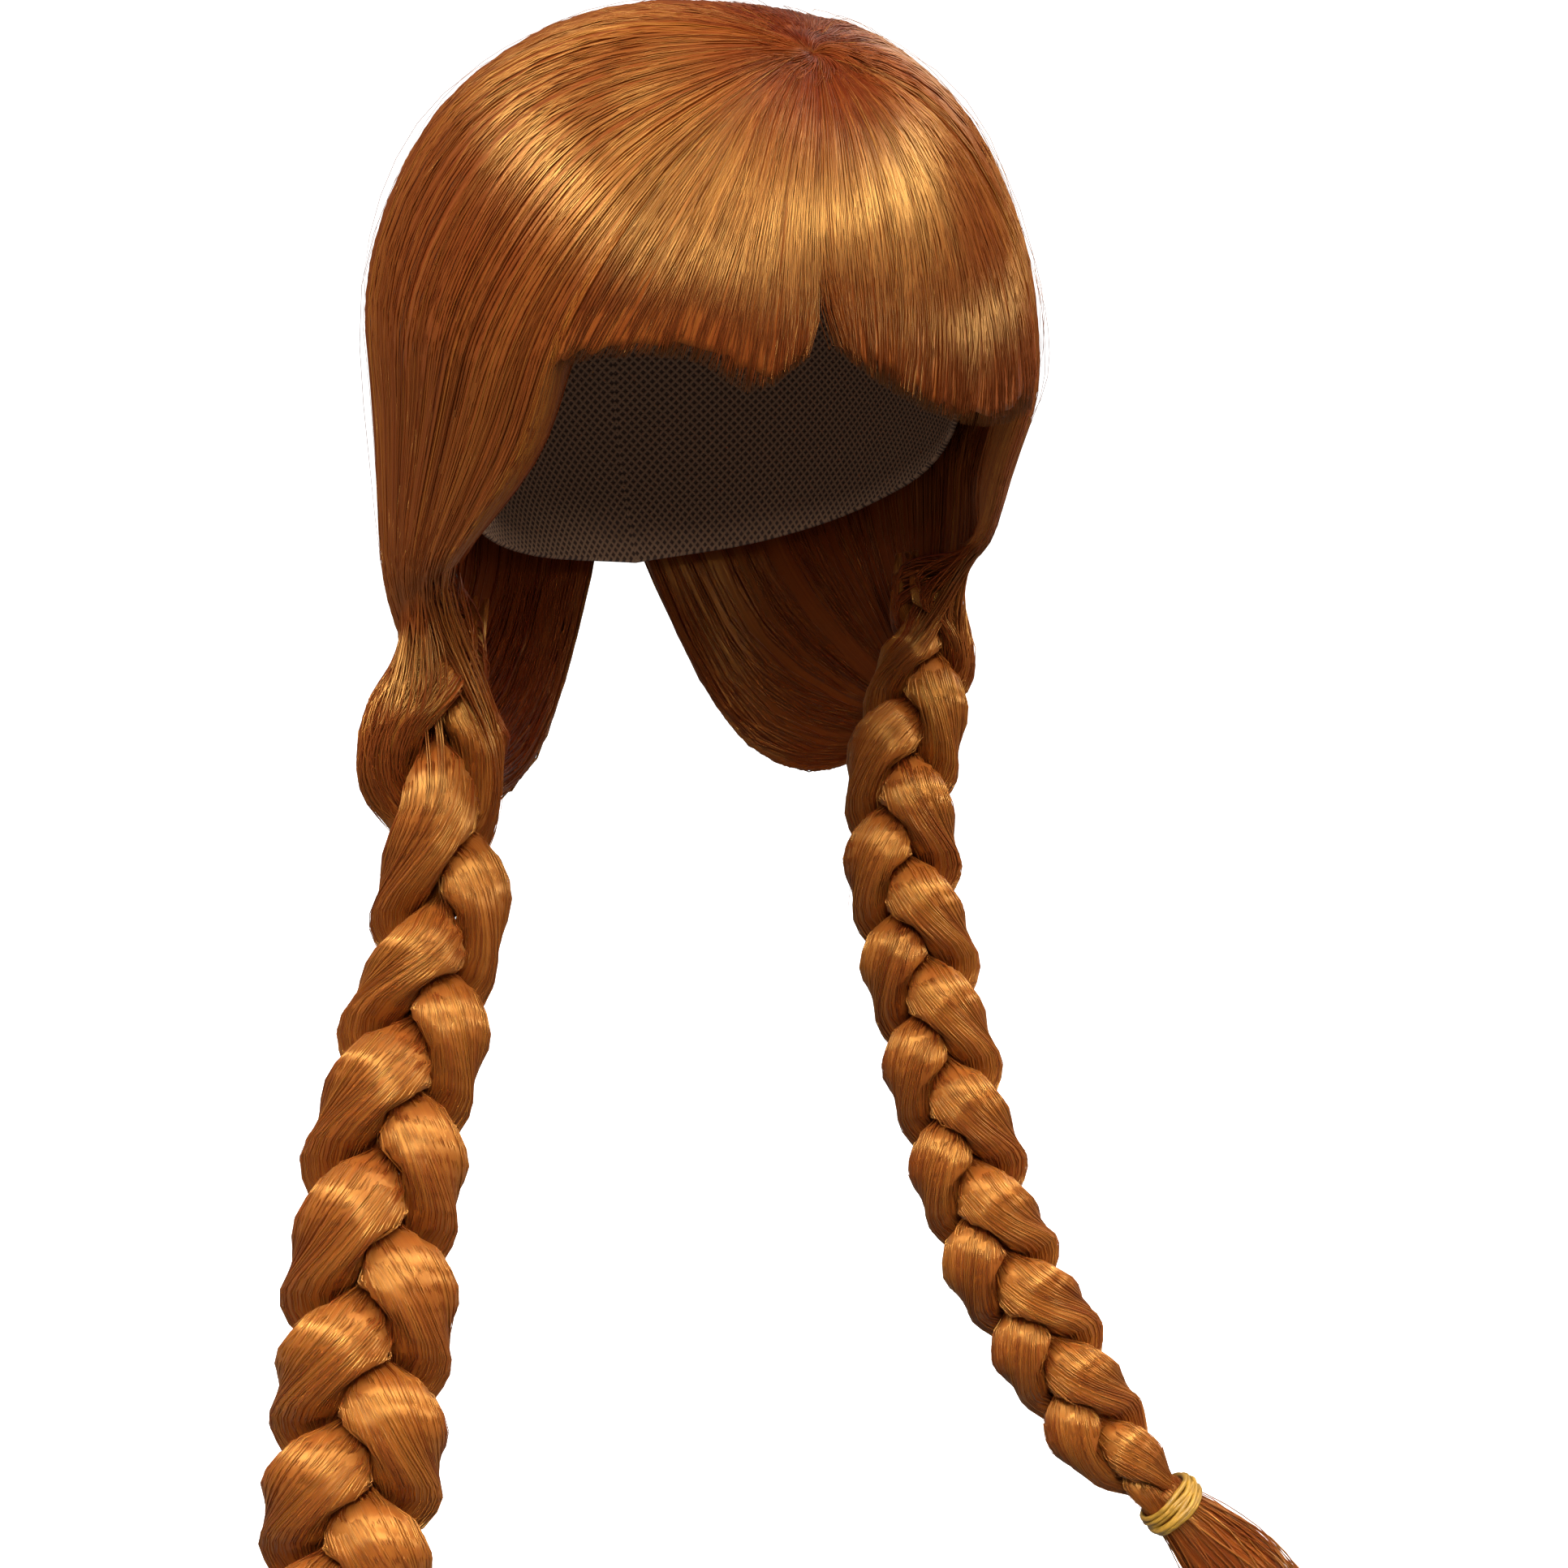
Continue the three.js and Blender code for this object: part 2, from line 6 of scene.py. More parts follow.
import bpy
import numpy as np
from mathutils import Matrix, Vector


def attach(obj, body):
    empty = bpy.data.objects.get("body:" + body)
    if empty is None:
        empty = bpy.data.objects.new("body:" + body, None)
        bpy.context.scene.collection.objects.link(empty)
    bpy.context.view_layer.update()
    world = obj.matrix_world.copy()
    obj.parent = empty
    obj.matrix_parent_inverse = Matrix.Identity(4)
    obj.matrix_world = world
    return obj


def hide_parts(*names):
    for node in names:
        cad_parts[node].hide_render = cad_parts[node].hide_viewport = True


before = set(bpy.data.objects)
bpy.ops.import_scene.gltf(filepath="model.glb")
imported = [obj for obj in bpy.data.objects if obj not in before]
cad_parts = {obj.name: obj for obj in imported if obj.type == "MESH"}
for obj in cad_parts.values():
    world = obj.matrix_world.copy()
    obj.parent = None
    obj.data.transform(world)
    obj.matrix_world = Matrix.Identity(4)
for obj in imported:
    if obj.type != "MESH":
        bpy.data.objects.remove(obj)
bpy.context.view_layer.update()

# ---- the part's own tables -----------------------------------------------------------------------
HEAD_CENTRE = np.array([0.0, 0.0, -100.0])
HAIR_CLEAR = 4.4
CAP_WALL = 1.8
SIDE_WALL = (14.0, 10.0)
FRINGE_WALL = (12.0, 5.0)
SEAM = 0.35
START = 0.016
STRAND_STEPS = 17
TAIL_LENGTH = 86.0
BAND_LIFT = 5.0
BAND_RISE = 3 * 1.5 + 0.9

# polar angle: distance to the side, front and back
HEAD = np.array(
    [
        [0, 100, 100, 100],
        [15, 98, 99, 100.5],
        [30, 93, 99, 100.5],
        [45, 87.5, 97.5, 100],
        [60, 83, 96.3, 99],
        [75, 80.5, 95.3, 98.3],
        [90, 79.5, 95, 98],
        [105, 81, 97, 99.3],
        [120, 86.5, 101, 101.5],
        [135, 97, 110, 106],
        [150, 122, 130, 122],
        [165, 200, 200, 200],
    ],
    float,
)
# polar angle: height of the hair at the right, left, front and back
HAIR = np.array(
    [
        [0, 11.5, 11.5, 12, 11.5],
        [15, 15.5, 14.5, 12.5, 14],
        [30, 21.5, 21.5, 13.5, 18],
        [45, 27.5, 25, 14.5, 20],
        [60, 29.5, 25, 15.5, 21],
        [80, 29.5, 25, 17, 21],
        [95, 27, 25, 15.5, 21],
        [110, 29.5, 20.5, 13, 21],
        [122, 35.5, 22, 12, 24],
        [135, 43, 28, 12, 31],
        [150, 46, 42, 12, 48],
        [165, 30, 30, 12, 40],
    ],
    float,
)
CAP_RIM = np.array([[0, 62], [35, 66], [60, 84], [85, 112], [115, 126], [145, 133], [180, 136]], float)
SWEEP_RIGHT = [
    ([20, -13, -30, -42, -52, -74], [27, 40, 57, 78, 101, 121]),
    ([20, -18, -40, -54, -65, -82], [27, 37, 53, 75, 98, 124]),
    ([20, -22, -55, -67, -76, -90], [27, 31, 46, 70, 96, 127]),
    ([20, -27, -78, -90, -92, -98], [27, 21, 37, 63, 93, 130]),
    ([20, -70, -112, -112, -110, -106], [27, 12, 38, 68, 102, 134]),
    ([20, -145, -140, -142, -138, -112], [27, 11, 48, 84, 120, 141]),
    ([20, 180, 180, 180, -158, -110], [27, 14, 62, 110, 148, 149]),
]
SWEEP_LEFT = [
    ([20, 47, 54, 58, 66, 80], [27, 41, 65, 90, 110, 127]),
    ([20, 54, 66, 70, 75, 86], [27, 37, 58, 83, 106, 129]),
    ([20, 64, 78, 82, 84, 92], [27, 31, 52, 76, 102, 131]),
    ([20, 84, 94, 95, 95, 99], [27, 24, 44, 69, 98, 133]),
    ([20, 112, 115, 113, 110, 106], [27, 18, 42, 70, 103, 137]),
    ([20, 150, 142, 142, 138, 112], [27, 14, 49, 84, 120, 143]),
    ([20, 180, 180, 180, 158, 110], [27, 14, 62, 110, 148, 149]),
]
FRINGE = [
    ([20, -8, -20, -29, -37], [27, 39, 53, 68, 83]),
    ([20, -3, -11, -17, -22], [27, 40, 54, 68, 83]),
    ([20, 3, -5, -9, -12], [27, 41, 56, 72, 88]),
    ([20, 9, 3, 0, -1], [27, 40, 54, 68, 82]),
    ([20, 15, 11, 9, 8], [27, 41, 56, 72, 87]),
    ([20, 23, 22, 20, 19], [27, 42, 60, 77, 93]),
    ([20, 33, 36, 36, 35], [27, 42, 62, 81, 97]),
]
# x, y, z, facing, half-width, half-depth, weaves passed
PLAIT_RIGHT = np.array(
    [
        [-73, 13, -158, 20, 6, 6, -0.23],
        [-76, 10, -176, 22, 8, 7, -0.117],
        [-86, 3, -195, 25, 16.5, 10.5, 0.009],
        [-93, -1, -213, 26, 23, 14, 0.123],
        [-94, -11, -240, 22, 20, 15.5, 0.291],
        [-98, -22, -275, 4, 19.5, 16, 0.556],
        [-110, -32, -306, -8, 21.5, 16.5, 0.855],
        [-123, -42, -345, -6, 24, 17, 1.2],
        [-130, -50, -383, -8, 25.5, 17.5, 1.507],
        [-136, -56, -420, -18, 26, 17.5, 1.82],
        [-141.5, -60, -456, -20, 26, 17.5, 2.124],
        [-146, -62.5, -486, -18, 22, 15.5, 2.372],
        [-147, -63.5, -502, -16, 14, 11.5, 2.509],
        [-147.5, -64, -512, -16, 7.3, 7.3, 2.6],
        [-148, -64.5, -523, -16, 7.3, 7.3, 2.69],
    ]
)
PLAIT_LEFT = np.array(
    [
        [71, 12, -158, -14, 5.5, 6, -0.098],
        [72.4, 9, -175, -18, 7.5, 6.5, 0.07],
        [78, 5, -194, -24, 12.5, 10, 0.248],
        [73, 2, -214, -27, 16, 13, 0.457],
        [64, -5, -240, -29, 17, 14.5, 0.722],
        [62, -13, -272, -30, 17.5, 14.5, 1.05],
        [66, -21, -304, -31, 17.5, 14, 1.382],
        [72, -32, -345, -32, 17.5, 13.5, 1.8],
        [81, -41, -384, -32, 17.5, 13, 2.214],
        [98, -48, -420, -30, 17.5, 12.5, 2.629],
        [114, -54.5, -450, -28, 15.5, 12, 2.979],
        [125, -58.5, -464, -26, 12.5, 10.5, 3.141],
        [134, -61, -474, -25, 7.3, 7.3, 3.253],
        [142, -63.5, -482, -25, 7.3, 7.3, 3.364],
    ]
)
TAIL_FORM = np.array([[0, 9.6], [0.12, 12.4], [0.35, 16], [0.65, 17], [0.88, 14], [1, 9]])


# ---- small maths ---------------------------------------------------------------------------------
def through(xs, ys, x):
    x = np.asarray(x, float)
    i = np.clip(np.searchsorted(xs, x, side="right") - 1, 0, len(xs) - 2)
    slope = np.empty(len(xs))
    slope[0] = (ys[1] - ys[0]) / (xs[1] - xs[0])
    slope[-1] = (ys[-1] - ys[-2]) / (xs[-1] - xs[-2])
    slope[1:-1] = (ys[2:] - ys[:-2]) / (xs[2:] - xs[:-2])
    h = xs[i + 1] - xs[i]
    t = (x - xs[i]) / h
    return (
        (2 * t**3 - 3 * t**2 + 1) * ys[i]
        + (t**3 - 2 * t**2 + t) * h * slope[i]
        + (3 * t**2 - 2 * t**3) * ys[i + 1]
        + (t**3 - t**2) * h * slope[i + 1]
    )


def unit(v):
    return v / np.maximum(np.linalg.norm(v, axis=-1, keepdims=True), 1e-9)


def step(a, b, x):
    t = np.clip((x - a) / (b - a), 0, 1)
    return t * t * (3 - 2 * t)


def direction(az, phi):
    a, p = np.radians(az), np.radians(phi)
    return np.stack([np.sin(p) * np.sin(a), -np.sin(p) * np.cos(a), np.cos(p)], -1)


def head_radius(d):
    phi = np.degrees(np.arccos(np.clip(d[..., 2], -1, 1)))
    across = (d[..., 0] / (np.hypot(d[..., 0], d[..., 1]) + 1e-9)) ** 2
    s = through(HEAD[:, 0], HEAD[:, 1], phi)
    f = np.where(d[..., 1] < 0, through(HEAD[:, 0], HEAD[:, 2], phi), through(HEAD[:, 0], HEAD[:, 3], phi))
    return 1 / np.sqrt(across / s**2 + (1 - across) / f**2)


def hair_height(d):
    phi = np.degrees(np.arccos(np.clip(d[..., 2], -1, 1)))
    across = (d[..., 0] / (np.hypot(d[..., 0], d[..., 1]) + 1e-9)) ** 2
    s = np.where(d[..., 0] < 0, through(HAIR[:, 0], HAIR[:, 1], phi), through(HAIR[:, 0], HAIR[:, 2], phi))
    f = np.where(d[..., 1] < 0, through(HAIR[:, 0], HAIR[:, 3], phi), through(HAIR[:, 0], HAIR[:, 4], phi))
    return s * across + f * (1 - across)


def on_head(d, height):
    return HEAD_CENTRE + d * (head_radius(d) + height)[..., None]


def weights(f):
    f = f[..., None]
    return (
        -0.5 * f**3 + f**2 - 0.5 * f,
        1.5 * f**3 - 2.5 * f**2 + 1,
        -1.5 * f**3 + 2 * f**2 + 0.5 * f,
        0.5 * f**3 - 0.5 * f**2,
    )


def sweep(rows, t):
    n = len(rows)
    i = np.clip(np.floor(t).astype(int), 0, n - 2)
    return unit(sum(w * rows[np.clip(i + o, 0, n - 1)] for o, w in zip((-1, 0, 1, 2), weights(t - i))))


def noise(x, y, seed):
    """Smooth value noise from -1 to 1."""
    grid = np.random.default_rng(seed).random((256, 256)) * 2 - 1
    xi, yi = np.floor(x).astype(int), np.floor(y).astype(int)
    fx, fy = x - xi, y - yi
    fx, fy = fx * fx * (3 - 2 * fx), fy * fy * (3 - 2 * fy)
    g = lambda a, b: grid[a % 256, b % 256]
    return (g(xi, yi) * (1 - fx) + g(xi + 1, yi) * fx) * (1 - fy) + (
        g(xi, yi + 1) * (1 - fx) + g(xi + 1, yi + 1) * fx
    ) * fy


# ---- meshes --------------------------------------------------------------------------------------
def make_mesh(name, points, quads, tris, flow, uv, material):
    """A closed smooth mesh from arrays. flow is across, along in mm, and tone; uv is one pair a vertex."""
    points = np.asarray(points, float)
    quads = np.asarray(quads, np.int32).reshape(-1, 4)
    tris = np.asarray(tris, np.int32).reshape(-1, 3)
    # faces look outwards
    def volume(f):
        a = points[f[:, 0]]
        total = 0.0
        for k in range(1, f.shape[1] - 1):
            total += np.einsum("ij,ij->", a - points.mean(0), np.cross(points[f[:, k]] - points.mean(0), points[f[:, k + 1]] - points.mean(0)))
        return total

    if (volume(quads) if len(quads) else 0) + (volume(tris) if len(tris) else 0) < 0:
        quads, tris = quads[:, ::-1], tris[:, ::-1]
    loops = np.concatenate([quads.ravel(), tris.ravel()]).astype(np.int32)
    mesh = bpy.data.meshes.new(name)
    mesh.vertices.add(len(points))
    mesh.vertices.foreach_set("co", (points * 0.001).astype(np.float32).ravel())
    mesh.loops.add(len(loops))
    mesh.loops.foreach_set("vertex_index", loops)
    n = len(quads) + len(tris)
    mesh.polygons.add(n)
    starts = np.concatenate([np.arange(len(quads)) * 4, len(quads) * 4 + np.arange(len(tris)) * 3]).astype(np.int32)
    mesh.polygons.foreach_set("loop_start", starts)
    mesh.update(calc_edges=True)
    mesh.polygons.foreach_set("use_smooth", np.ones(n, bool))
    a = mesh.attributes.new("flow", "FLOAT_VECTOR", "POINT")
    a.data.foreach_set("vector", np.asarray(flow, np.float32).ravel())
    for map_name in ("OFBake", "lie"):
        layer = mesh.uv_layers.new(name=map_name)
        layer.data.foreach_set("uv", np.asarray(uv, np.float32)[loops].ravel())
    mesh.validate()
    mesh.update()
    mesh.materials.append(material)
    obj = bpy.data.objects.new(name, mesh)
    bpy.context.scene.collection.objects.link(obj)
    return obj


def finish_piece(obj, slot, *nodes):
    if nodes:
        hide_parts(*nodes)
    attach(obj, "root")
    return obj


def fibres(name, line, up, half, across, tone, material, whorl_dark_and_painted_shade=1.0):
    """Tapered three-sided fibres. line (S, N, 3), up (S, N, 3) away from the hair below, half (S, N) half-width,
    across (S,) place in mm, tone (S,) 0 dark to 1 light, the last argument scales the tone along them (lay uses it for
    darker hair at the whorl and for painted shade at the fringe's ends)."""
    s, n, _ = line.shape
    along = unit(np.gradient(line, axis=1))
    up = unit(up - along * (up * along).sum(-1, keepdims=True))
    side = np.cross(along, up)
    h = half[..., None]
    ring = np.stack([line + up * h * 0.6, line - up * h * 0.4 + side * h, line - up * h * 0.4 - side * h], 2)
    points = ring.reshape(-1, 3)
    base = (np.arange(s) * n * 3)[:, None, None] + (np.arange(n - 1) * 3)[None, :, None]
    quads = []
    for a, b in ((0, 1), (1, 2), (2, 0)):
        quads.append(np.stack([base + a, base + b, base + b + 3, base + a + 3], -1).reshape(-1, 4))
    first = (np.arange(s) * n * 3)[:, None]
    last = first + (n - 1) * 3
    tris = np.concatenate([np.concatenate([first, first + 2, first + 1], 1), np.concatenate([last, last + 1, last + 2], 1)])
    length = np.concatenate([np.zeros((s, 1)), np.cumsum(np.linalg.norm(np.diff(line, axis=1), axis=-1), 1)], 1)
    level = np.round(tone * 63) / 63
    flow = np.stack([np.repeat(across[:, None], n, 1), length, np.repeat(level[:, None], n, 1) * whorl_dark_and_painted_shade], -1)
    flow = np.repeat(flow[:, :, None, :], 3, 2)
    flow[..., 0] += np.array([0.0, 1.0, -1.0]) * half[..., None]
    flow = flow.reshape(-1, 3)
    u = (level * 63)[:, None, None] / 64 + np.array([0.002, 0.007, 0.013])[None, None, :]
    v = np.clip(length / 340, 0, 1)[:, :, None]
    uv = np.stack(np.broadcast_arrays(u, v), -1).reshape(-1, 2)
    return make_mesh(name, points, np.concatenate(quads), tris, flow, uv, material)


# ---- materials -----------------------------------------------------------------------------------
def nodes_for(name):
    m = bpy.data.materials.new(name)
    m.use_nodes = True
    t = m.node_tree
    return m, t.nodes, t.links, t.nodes["Principled BSDF"]


def ramp(nodes, stops):
    r = nodes.new("ShaderNodeValToRGB")
    e = r.color_ramp.elements
    while len(e) < len(stops):
        e.new(0.5)
    for k, (at, colour) in enumerate(stops):
        e[k].position = at
        e[k].color = (*colour, 1)
    return r


def hair_material(name, streaky, silky, gloss=1.0, crown=1.0):
    m, nodes, links, bsdf = nodes_for(name)
    flow = nodes.new("ShaderNodeAttribute")
    flow.attribute_name = "flow"
    parts = nodes.new("ShaderNodeSeparateXYZ")
    links.new(flow.outputs["Vector"], parts.inputs[0])

    def streaks(x_scale, y_scale, detail):
        by = nodes.new("ShaderNodeVectorMath")
        by.operation = "MULTIPLY"
        by.inputs[1].default_value = (x_scale, y_scale, 7.0)
        links.new(flow.outputs["Vector"], by.inputs[0])
        n = nodes.new("ShaderNodeTexNoise")
        n.inputs["Scale"].default_value = 1.0
        n.inputs["Detail"].default_value = detail
        links.new(by.outputs[0], n.inputs["Vector"])
        return n.outputs["Fac"]

    fine = streaks(2.6, 0.016, 4.0)
    broad = streaks(0.16, 0.012, 2.0)

    def mix(a, wa, b, wb):
        x = nodes.new("ShaderNodeMath")
        x.operation = "MULTIPLY"
        x.inputs[1].default_value = wa
        links.new(a, x.inputs[0])
        y = nodes.new("ShaderNodeMath")
        y.operation = "MULTIPLY_ADD"
        y.inputs[1].default_value = wb
        links.new(b, y.inputs[0])
        links.new(x.outputs[0], y.inputs[2])
        return y.outputs[0]

    t = mix(parts.outputs["Z"], 0.62, fine, streaky)
    t = mix(t, 1.0, broad, 0.22)
    colour = ramp(
        nodes,
        [
            (0.12, (0.054, 0.0052, 0.0011)),
            (0.38, (0.125, 0.0150, 0.0032)),
            (0.62, (0.200, 0.0385, 0.0065)),
            (0.95, (0.34, 0.112, 0.0170)),
        ],
    )
    links.new(t, colour.inputs[0])
    links.new(colour.outputs[0], bsdf.inputs["Base Color"])
    rough = nodes.new("ShaderNodeMapRange")
    rough.inputs["To Min"].default_value = 0.31 if silky > 0.8 else 0.26
    rough.inputs["To Max"].default_value = 0.41 if silky > 0.8 else 0.36
    links.new(fine, rough.inputs["Value"])
    links.new(rough.outputs[0], bsdf.inputs["Roughness"])
    bsdf.inputs["Metallic"].default_value = 0.1
    bsdf.inputs["Specular IOR Level"].default_value = gloss
    if crown < 1:
        # the hair round the whorl is duller than the hair below it
        level = nodes.new("ShaderNodeMapRange")
        level.interpolation_type = "SMOOTHSTEP"
        level.inputs["From Min"].default_value = 14
        level.inputs["From Max"].default_value = 58
        level.inputs["To Min"].default_value = gloss * crown
        level.inputs["To Max"].default_value = gloss
        links.new(parts.outputs["Y"], level.inputs["Value"])
        links.new(level.outputs[0], bsdf.inputs["Specular IOR Level"])
    bsdf.inputs["IOR"].default_value = 1.75
    bsdf.inputs["Specular Tint"].default_value = (1.0, 0.60, 0.15, 1)
    if silky:
        # the shine runs across the hair
        bsdf.inputs["Anisotropic"].default_value = silky
        tangent = nodes.new("ShaderNodeTangent")
        tangent.direction_type = "UV_MAP"
        tangent.uv_map = "lie"
        links.new(tangent.outputs[0], bsdf.inputs["Tangent"])
    bump = nodes.new("ShaderNodeBump")
    bump.inputs["Strength"].default_value = 0.28
    bump.inputs["Distance"].default_value = 0.0005
    links.new(fine, bump.inputs["Height"])
    links.new(bump.outputs[0], bsdf.inputs["Normal"])
    return m


def net_material():
    m, nodes, links, bsdf = nodes_for("cap_net")
    flow = nodes.new("ShaderNodeAttribute")
    flow.attribute_name = "flow"
    waves = []
    for k, turn in enumerate((0.78, -0.78)):
        mapping = nodes.new("ShaderNodeMapping")
        mapping.inputs["Rotation"].default_value = (0, 0, turn)
        links.new(flow.outputs["Vector"], mapping.inputs["Vector"])
        w = nodes.new("ShaderNodeTexWave")
        w.inputs["Scale"].default_value = 0.16
        w.inputs["Distortion"].default_value = 0.6
        links.new(mapping.outputs[0], w.inputs["Vector"])
        waves.append(w.outputs["Fac"])
    both = nodes.new("ShaderNodeMath")
    both.operation = "MAXIMUM"
    links.new(waves[0], both.inputs[0])
    links.new(waves[1], both.inputs[1])
    colour = ramp(nodes, [(0.45, (0.085, 0.040, 0.022)), (0.85, (0.36, 0.20, 0.115))])
    links.new(both.outputs[0], colour.inputs[0])
    links.new(colour.outputs[0], bsdf.inputs["Base Color"])
    bump = nodes.new("ShaderNodeBump")
    bump.inputs["Strength"].default_value = 0.8
    bump.inputs["Distance"].default_value = 0.0005
    links.new(both.outputs[0], bump.inputs["Height"])
    links.new(bump.outputs[0], bsdf.inputs["Normal"])
    bsdf.inputs["Roughness"].default_value = 0.8
    return m


def elastic_material():
    m, nodes, links, bsdf = nodes_for("elastic")
    where = nodes.new("ShaderNodeTexCoord")
    n = nodes.new("ShaderNodeTexNoise")
    n.inputs["Scale"].default_value = 420
    n.inputs["Detail"].default_value = 3
    links.new(where.outputs["Object"], n.inputs["Vector"])
    colour = ramp(nodes, [(0.3, (0.24, 0.120, 0.009)), (0.7, (0.41, 0.215, 0.020))])
    links.new(n.outputs["Fac"], colour.inputs[0])
    links.new(colour.outputs[0], bsdf.inputs["Base Color"])
    bump = nodes.new("ShaderNodeBump")
    bump.inputs["Strength"].default_value = 0.3
    bump.inputs["Distance"].default_value = 0.0003
    links.new(n.outputs["Fac"], bump.inputs["Height"])
    links.new(bump.outputs[0], bsdf.inputs["Normal"])
    bsdf.inputs["Roughness"].default_value = 0.45
    return m


def plain_floor_material():
    m, nodes, links, bsdf = nodes_for("studio_floor")
    bsdf.inputs["Base Color"].default_value = (0.93, 0.93, 0.93, 1)
    bsdf.inputs["Roughness"].default_value = 0.9
    bsdf.inputs["Specular IOR Level"].default_value = 0.1
    bsdf.inputs["Emission Color"].default_value = (1, 1, 1, 1)
    bsdf.inputs["Emission Strength"].default_value = 0.9
    return m


HAIR_FIBRE = hair_material("hair", 0.28, 0.7)
HAIR_BODY = hair_material("hair_body", 0.5, 0.9, 0.65)
HAIR_CROWN = hair_material("hair_crown", 0.28, 0.7, 1.0, 0.2)
HAIR_EDGE = hair_material("hair_edge", 0.45, 0.7, 0.4)
HAIR_INSIDE = hair_material("hair_inside", 0.3, 0.7, 0.25)
NET = net_material()
ELASTIC = elastic_material()


# ---- side hair and fringe ------------------------------------------------------------------------
class Panel:
    """u runs down the hair, v across it."""

    def __init__(self, name, locks, share, wall, sign, edges, seed, u_len):
        self.name, self.locks, self.share, self.wall, self.sign = name, locks, share, wall, sign
        self.edges, self.seed, self.length = edges, seed, u_len
        us, vs = np.meshgrid(np.linspace(0.02, 1, 40), np.linspace(0, 1, 60), indexing="ij")
        p = self.place(us, vs, 5.0)
        across = np.linalg.norm(np.diff(p, axis=1), axis=-1)
        self.widths = across.sum(1)
        self.width_u = us[:, 0]
        self.wide = across[14:].mean(0)  # how the width is shared out over v
        self.full = self.width(0.55)

    def way(self, u, v):
        a = np.stack([sweep(r, u * (len(r) - 1)) for r in self.locks])
        n = len(self.locks)
        s = v * (n - 1)
        i = np.clip(np.floor(s).astype(int), 0, n - 2)
        pick = lambda o: np.take_along_axis(a, np.broadcast_to(np.clip(i + o, 0, n - 1)[None, ..., None], (1,) + a.shape[1:]), 0)[0]
        return unit(sum(w * pick(o) for o, w in zip((-1, 0, 1, 2), weights(s - i))))

    def width(self, u):
        return np.interp(u, self.width_u, self.widths)

    def top(self, u, v):
        """How far below the CAD surface the body of the hair lies: soft locks, and creases at its edges."""
        w = self.full
        x, y = v * w, u * self.length
        soft = 0.8 * noise(x / 16, y / 150, self.seed) + 0.35 * noise(x / 6.5, y / 110, self.seed + 1) + 0.14 * noise(x / 2.6, y / 80, self.seed + 2)
        soft = soft * step(0.02, 0.25, u)
        now = self.width(u)
        for edge, (deep, reach, roll, start, full) in zip((v, 1 - v), self.edges):
            far = np.maximum(edge, 0) * now
            soft = soft - deep * np.exp(-((far / reach) ** 2)) * (1 - step(start, full, u))
            soft = soft - roll * (1 - np.sqrt(1 - (1 - np.clip(far / 12.0, 0, 1)) ** 2)) * step(start, full, u)
        if self.sign:
            soft = soft - 4.5 * step(0.9, 1.03, u) ** 2
        return soft - 0.8

    def place(self, u, v, height):
        p = on_head(self.way(u, v), np.broadcast_to(height, u.shape))
        return self.keep(p)

    def keep(self, p):
        if self.sign:
            over = (p[..., 1] > 12) & (p[..., 0] * self.sign < SEAM)
            p[..., 0] = np.where(over, SEAM * self.sign, p[..., 0])
        return p

    def outer(self, u, v, above):
        d = self.way(u, v)
        return self.keep(on_head(d, hair_height(d) + self.top(u, v) + above)), d

    def inner(self, u, v, above=0.0):
        d = self.way(u, v)
        wall = self.wall[0] + (self.wall[1] - self.wall[0]) * (u * u if self.sign else u)
        wall = wall * (1 - (0.55 * step(0.85, 1, u) if self.sign else 0.88 * step(0.4, 0.84, u)))
        low = np.maximum(HAIR_CLEAR, hair_height(d) - wall)
        return self.keep(on_head(d, np.minimum(low, hair_height(d) + self.top(u, v) - 0.6) + above))

    def spread(self, rng, count):
        """v for count fibres, even over the width."""
        total = np.concatenate([[0], np.cumsum(self.wide)])
        return np.interp((np.arange(count) + rng.random(count)) / count * total[-1], total, np.linspace(0, 1, len(total)))


def grid_uv(i, j, nu, nv, side):
    return np.stack([(side + 0.02 + 0.96 * j / nv) / 2, 0.02 + 0.96 * i / nu], -1)


